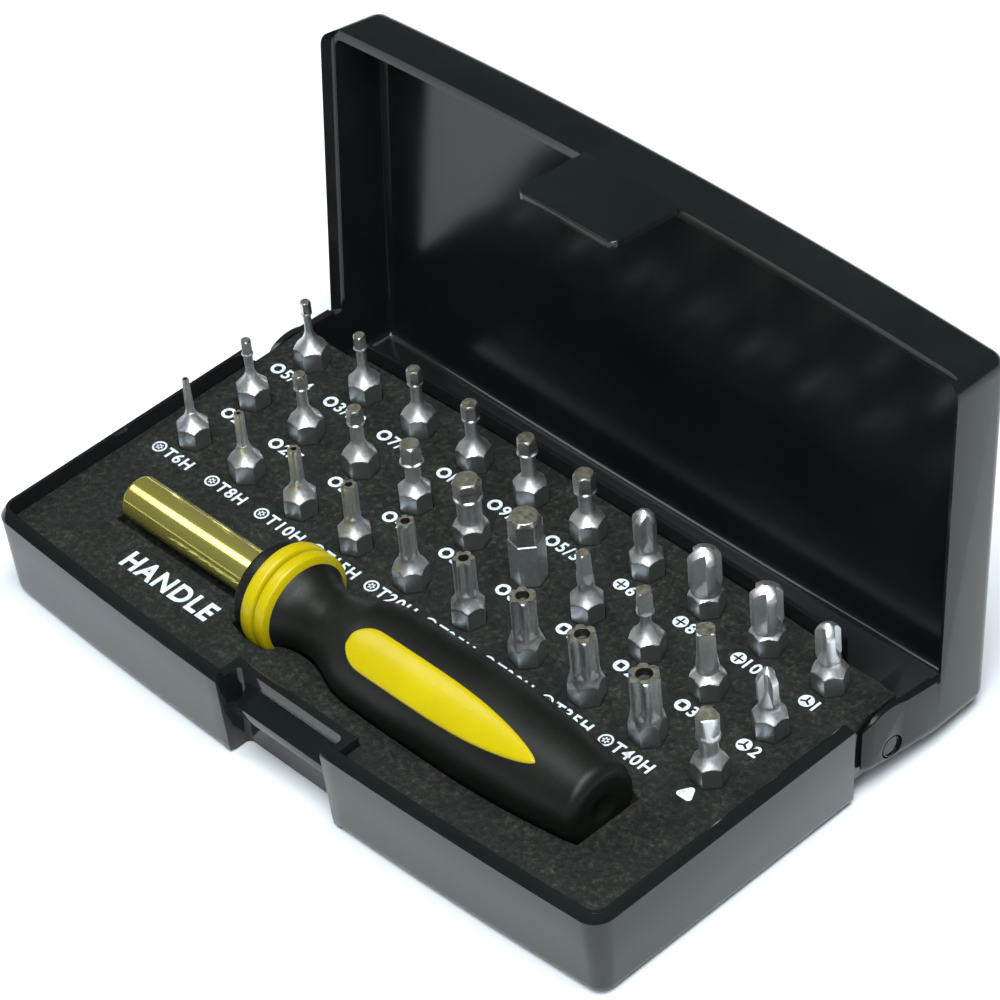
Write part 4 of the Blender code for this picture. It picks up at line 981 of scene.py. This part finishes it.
FLAT, CORNER = -40.0, -10.0
BITS = [
    ("bit_lobe_t6", 0, 0, "lobe", lobe(1.74, 0.62, 7.6, 9.6, 0.98, 7.8, taper=0.22, body=0.95), CORNER + 4, (-1.2, 0.4)),
    ("bit_lobe_t8", 1, 0, "lobe", lobe(2.30, 0.80, 8.0, 9.6, 1.25, 8.0, taper=0.05), FLAT - 6, (-1.0, 0.2)),
    ("bit_lobe_t10", 2, 0, "lobe", lobe(2.74, 1.05, 7.5, 9.0, 1.45, 7.5, taper=0.03), CORNER - 2, (0.2, 0.2)),
    ("bit_lobe_t15", 3, 0, "lobe", lobe(3.27, 1.35, 7.3, 8.8, 1.65, 7.3), CORNER + 3, (0.0, 0.0)),
    ("bit_lobe_t20", 4, 0, "lobe", lobe(3.86, 1.75, 7.0, 8.8, 1.95, 7.0), FLAT + 3, (0.3, -0.2)),
    ("bit_lobe_t25", 5, 0, "lobe", lobe(4.43, 1.95, 6.9, 9.0, 2.20, 6.9), CORNER - 4, (0.4, 0.0)),
    ("bit_lobe_t30", 6, 0, "lobe", lobe(5.52, 2.60, 6.2, 8.8, 2.78, 6.2), FLAT - 2, (0.2, 0.2)),
    ("bit_lobe_t35", 7, 0, "lobe", lobe(5.90, 2.95, 6.0, 8.8, 2.98, 6.0), FLAT + 5, (-0.2, 0.1)),
    ("bit_lobe_t40", 8, 0, "lobe", lobe(6.40, 3.25, 5.6, 8.8, 3.20, 5.6, body=3.22), FLAT + 1, (0.2, 0.2)),
    ("bit_triangle", 9, 0, "stub", {"neck": 1.85, "zf": 6.6}, FLAT, (0.0, 0.2)),
    ("bit_hex_2", 0, 1, "hex", key(2.0, 3.3, 0.92, 1.22, 8.4), CORNER + 6, (-1.0, 0.3)),
    ("bit_hex_2p5", 1, 1, "hex", key(2.5, 3.4, 1.10, 1.50, 8.0), FLAT + 3, (-0.4, 0.0)),
    ("bit_hex_3", 2, 1, "hex", key(3.0, 3.5, 1.36, 1.80, 7.8), FLAT - 4, (0.0, 0.2)),
    ("bit_hex_4", 3, 1, "hex", key(4.0, 4.3, 1.58, 2.42, 6.8), CORNER + 2, (0.3, 0.0)),
    ("bit_hex_5", 4, 1, "hex", key(5.0, 4.4, 2.48, 2.92, 5.7), FLAT + 2, (0.0, 0.0)),
    ("bit_hex_6", 5, 1, "hex", key(6.0, 5.7, 3.0, 3.6, 4.9), FLAT - 1, (0.2, 0.0)),
    ("bit_square_1", 6, 1, "square", {"af": 2.25, "r0": 7.6, "r1": 11.6, "body": 1.70, "neck": 1.62, "zf": 7.4, "taper": 0.06}, CORNER - 3, (0.3, -0.2)),
    ("bit_square_2", 7, 1, "square", {"af": 2.82, "r0": 9.9, "r1": 11.5, "body": 1.88, "neck": 1.02, "zf": 8.3, "taper": 0.02}, FLAT + 4, (0.2, 0.3)),
    ("bit_square_3", 8, 1, "square", {"af": 3.70, "r0": 5.6, "r1": 9.6, "body": 2.28, "neck": 2.15, "zf": 5.7, "taper": 0.04}, FLAT - 3, (0.3, 0.2)),
    ("bit_wing_2", 9, 1, "wing", {"d": 4.5, "w": 1.45, "wings": 3, "off": False, "r0": 6.8, "r1": 10.6, "dome": 3.4, "nose": 0.95, "neck": 2.0, "zf": 6.6}, CORNER + 5, (-1.6, 0.6)),
    ("bit_hex_5_64", 0, 2, "hex", key(1.98, 2.8, 0.80, 1.16, 8.8), FLAT + 2, (-1.0, 0.4)),
    ("bit_hex_3_32", 1, 2, "hex", key(2.38, 3.1, 0.98, 1.42, 8.4), CORNER - 3, (0.0, 0.2)),
    ("bit_hex_7_64", 2, 2, "hex", key(2.78, 3.5, 1.16, 1.60, 8.0), FLAT - 5, (0.2, 0.0)),
    ("bit_hex_1_8", 3, 2, "hex", key(3.18, 3.7, 1.35, 1.85, 7.6), FLAT + 1, (0.2, 0.0)),
    ("bit_hex_9_64", 4, 2, "hex", key(3.57, 3.5, 1.52, 2.12, 7.0), CORNER + 8, (0.0, 0.2)),
    ("bit_hex_5_32", 5, 2, "hex", key(3.97, 4.2, 1.55, 2.26, 6.7), FLAT - 2, (0.0, 0.0)),
    ("bit_cross_6", 6, 2, "cross", {"d": 4.9, "w": 1.35, "wings": 4, "off": True, "r0": 6.0, "r1": 9.6, "dome": 2.6, "nose": 0.90, "neck": 2.2, "zf": 6.0}, CORNER + 3, (0.3, 0.2)),
    ("bit_cross_8", 7, 2, "cross", {"d": 6.5, "w": 1.85, "wings": 4, "off": True, "r0": 5.2, "r1": 9.4, "dome": 2.7, "nose": 0.88, "neck": 2.9, "zf": 4.9}, FLAT + 2, (0.0, 0.2)),
    ("bit_cross_10", 8, 2, "cross", {"d": 6.3, "w": 1.9, "wings": 4, "off": True, "r0": 5.4, "r1": 9.2, "dome": 2.2, "nose": 0.85, "neck": 2.8, "zf": 5.0}, FLAT - 4, (0.3, 0.4)),
    ("bit_wing_1", 9, 2, "wing", {"d": 5.0, "w": 1.65, "wings": 3, "off": False, "r0": 6.6, "r1": 9.6, "dome": 2.6, "nose": 0.90, "neck": 2.1, "zf": 6.5}, FLAT + 5, (-0.6, 0.2)),
]


# ------------------------------------------------------------------ size marks
def flat_shape(polys, x, y, z):
    """2-D polygons (lists of loops of quads) to verts/faces at z."""
    verts, faces = [], []
    for loop in polys:
        o = len(verts)
        verts += [(x + px, y + py, z) for px, py in loop]
        faces.append(tuple(range(o, o + len(loop))))
    return verts, faces


def ring_shape(r_out, r_in, n=40):
    """Quads between two radius functions."""
    out = []
    for k in range(n):
        a, b = 2 * math.pi * k / n, 2 * math.pi * (k + 1) / n
        out.append([(r_out(a) * math.cos(a), r_out(a) * math.sin(a)), (r_out(b) * math.cos(b), r_out(b) * math.sin(b)), (r_in(b) * math.cos(b), r_in(b) * math.sin(b)), (r_in(a) * math.cos(a), r_in(a) * math.sin(a))])
    return out


def symbol(kind):
    R = 1.55
    c = lambda r: (lambda a: r)
    if kind == "hex":
        return ring_shape(c(R), lambda a: hex_r(a, 1.62), 48)
    if kind == "square":
        return ring_shape(c(R), lambda a: 0.66 / max(abs(math.cos(a)), abs(math.sin(a))), 48)
    out = ring_shape(c(R), c(1.14), 48)
    if kind == "lobe":
        return out + ring_shape(lambda a: 0.62 + 0.24 * math.cos(6 * a), c(0.30), 48)
    if kind == "cross":
        return ring_shape(c(R), lambda a: min(1.2, 0.22 / max(min(abs(math.cos(a)), abs(math.sin(a))), 0.18)), 96)
    if kind == "wing":
        def f(a):
            b = (a - math.pi / 2) % (2 * math.pi / 3)
            b = min(b, 2 * math.pi / 3 - b)
            return min(1.2, 0.24 / max(math.sin(b), 0.2))
        return ring_shape(c(R), f, 96)
    return out


def text_mesh(body, size, x, y, z, width=None, bold=0.03, align="LEFT"):
    cu = bpy.data.curves.new("t", "FONT")
    cu.body = body
    cu.size = size
    cu.align_x = align
    cu.align_y = "CENTER"
    cu.offset = bold * size
    cu.fill_mode = "FRONT"
    cu.resolution_u = 6
    cu.space_character = 1.16
    ob = bpy.data.objects.new("t", cu)
    scene.collection.objects.link(ob)
    bpy.context.view_layer.update()
    graph = bpy.context.evaluated_depsgraph_get()
    me = bpy.data.meshes.new_from_object(ob.evaluated_get(graph))
    vs = [(v.co.x, v.co.y) for v in me.vertices]
    fs = [tuple(p.vertices) for p in me.polygons]
    bpy.data.objects.remove(ob, do_unlink=True)
    bpy.data.curves.remove(cu)
    bpy.data.meshes.remove(me)
    xs = [v[0] for v in vs]; ys = [v[1] for v in vs]
    w = max(xs) - min(xs)
    sx = (width / w) if width else 1.0
    x0 = min(xs) if align == "LEFT" else (min(xs) + max(xs)) / 2
    ym = (min(ys) + max(ys)) / 2
    return [(x + (px - x0) * sx, y + py - ym, z) for px, py in vs], fs, w * sx


LABELS = [
    (0, 0, "lobe", "T6H"), (1, 0, "lobe", "T8H"), (2, 0, "lobe", "T10H"), (3, 0, "lobe", "T15H"), (4, 0, "lobe", "T20H"), (5, 0, "lobe", "T25H"),
    (6, 0, "lobe", "T30H"), (7, 0, "lobe", "T35H"), (8, 0, "lobe", "T40H"),
    (0, 1, "hex", "2"), (1, 1, "hex", "2.5"), (2, 1, "hex", "3"), (3, 1, "hex", "4"), (4, 1, "hex", "5"), (5, 1, "hex", "6"),
    (6, 1, "square", "1"), (7, 1, "square", "2"), (8, 1, "square", "3"), (9, 1, "wing", "2"),
    (0, 2, "hex", "5/64"), (1, 2, "hex", "3/32"), (2, 2, "hex", "7/64"), (3, 2, "hex", "1/8"), (4, 2, "hex", "9/64"), (5, 2, "hex", "5/32"),
    (6, 2, "cross", "6"), (7, 2, "cross", "8"), (8, 2, "cross", "10"), (9, 2, "wing", "1"),
]


def build_labels():
    verts, faces = [], []
    z = Z_INSERT + 0.035

    def put(vs, fs):
        o = len(verts)
        verts.extend(vs)
        faces.extend(tuple(i + o for i in f) for f in fs)

    for col, row, kind, word in LABELS:
        cx, cy = X_FIRST + col * PITCH_X, Y_ROW_C + row * PITCH_Y - 6.0
        vs, fs, w = text_mesh(word, 3.85, 0, 0, z, bold=0.022)
        total = 3.10 + 0.45 + w
        x0 = cx - total / 2
        put([(vx + x0 + 3.10 + 0.45, vy + cy, vz) for vx, vy, vz in vs], fs)
        put(*flat_shape(symbol(kind), x0 + 1.55, cy, z))
    # rounded triangle mark
    tri = []
    for k in range(3):
        a = math.radians(90 + 120 * k)
        c = (1.15 * math.cos(a), 1.15 * math.sin(a))
        tri += [(c[0] + 0.75 * math.cos(a + math.radians(t)), c[1] + 0.75 * math.sin(a + math.radians(t))) for t in range(-60, 61, 15)]
    put(*flat_shape([tri], X_FIRST + 9 * PITCH_X - 0.2, Y_ROW_C - 6.1, z))
    vs, fs, w = text_mesh("HANDLE", 6.3, -43.2, -30.9, z, width=25.2, bold=0.034, align="CENTER")
    put(vs, fs)
    ob = mesh_object("size_marks", verts, faces, M_WHITE)
    me = ob.data
    flip = [p for p in me.polygons if p.normal.z < 0]
    if flip:
        bm = bmesh.new(); bm.from_mesh(me); bm.faces.ensure_lookup_table()
        bmesh.ops.reverse_faces(bm, faces=[f for f in bm.faces if f.normal.z < 0])
        bm.to_mesh(me); bm.free()
    mod = ob.modifiers.new("thick", "SOLIDIFY")
    mod.thickness = 0.05 * MM
    mod.offset = -1.0
    apply_mods(ob)
    return piece(ob, "case", "insert_foam")


build_base()
build_lid()
build_pin(-1)
build_pin(1)
build_insert()
build_driver()
for name, col, row, kind, p, rot, lean in BITS:
    build_bit("fine_" + name[4:], name, col, row, kind, p, rot, lean)
build_labels()

# ------------------------------------------------------------------ stage, lights, camera
floor = mesh_object("floor", [(-4000, -4000, -0.1), (4000, -4000, -0.1), (4000, 4000, -0.1), (-4000, 4000, -0.1)], [(0, 1, 2, 3)])
fm_ = Mat("floor_white")
fm_.put(Roughness=0.9, Specular_IOR_Level=0.1)
fm_.colour(fm_.ramp(fm_.noise(1.5, 2.0), (0.3, (0.86, 0.91, 0.95)), (0.7, (0.88, 0.93, 0.965))))
floor.data.materials.append(fm_.mat)
floor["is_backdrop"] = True


def area(name, loc, target, size, energy, colour=(1, 1, 1), size_y=None):
    li = bpy.data.lights.new(name, "AREA")
    li.energy = energy
    li.color = colour
    li.shape = "RECTANGLE"
    li.size = size
    li.size_y = size_y or size
    ob = bpy.data.objects.new(name, li)
    scene.collection.objects.link(ob)
    ob.location = loc
    d = Vector(target) - Vector(loc)
    ob.rotation_euler = d.to_track_quat("-Z", "Y").to_euler()
    return ob


area("key_overhead", (0.28, -0.08, 1.30), (0, 0, 0), 0.95, 20.0, (0.97, 0.99, 1.0), size_y=0.7)
area("key_left", (-0.85, -0.22, 1.15), (0, 0, 0), 0.50, 5.0, (0.98, 0.99, 1.0), size_y=0.8)
area("fill_camera_side", (0.62, -0.72, 1.05), (0, 0, 0.02), 0.6, 8.0, (0.96, 0.985, 1.0))

world = bpy.data.worlds.new("studio")
scene.world = world
world.use_nodes = True
bg = world.node_tree.nodes["Background"]
bg.inputs["Color"].default_value = (0.70, 0.82, 0.90, 1.0)
bg.inputs["Strength"].default_value = 0.10

cam_data = bpy.data.cameras.new("camera")
cam_data.lens = 164.5
cam_data.sensor_width = 36.0
cam_data.clip_start = 0.05
cam_data.clip_end = 50.0
cam = bpy.data.objects.new("camera", cam_data)
scene.collection.objects.link(cam)
right = Vector((0.69353398, 0.71662705, -0.07386675))
up = Vector((-0.43515587, 0.49842032, 0.74981101))
back = Vector((0.57415154, -0.48787587, 0.65751589))
rotm = Matrix((right, up, back)).transposed()
cam.matrix_world = Matrix.Translation((0.49984, -0.40698, 0.60476)) @ rotm.to_4x4()
scene.camera = cam
scene.view_settings.view_transform = "Standard"
scene.view_settings.look = "None"

NEW_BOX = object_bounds()


def plain(b):
    return [[float(c) for c in row] for row in b]


{"cad": plain(CAD_BOX), "visual": plain(NEW_BOX)}
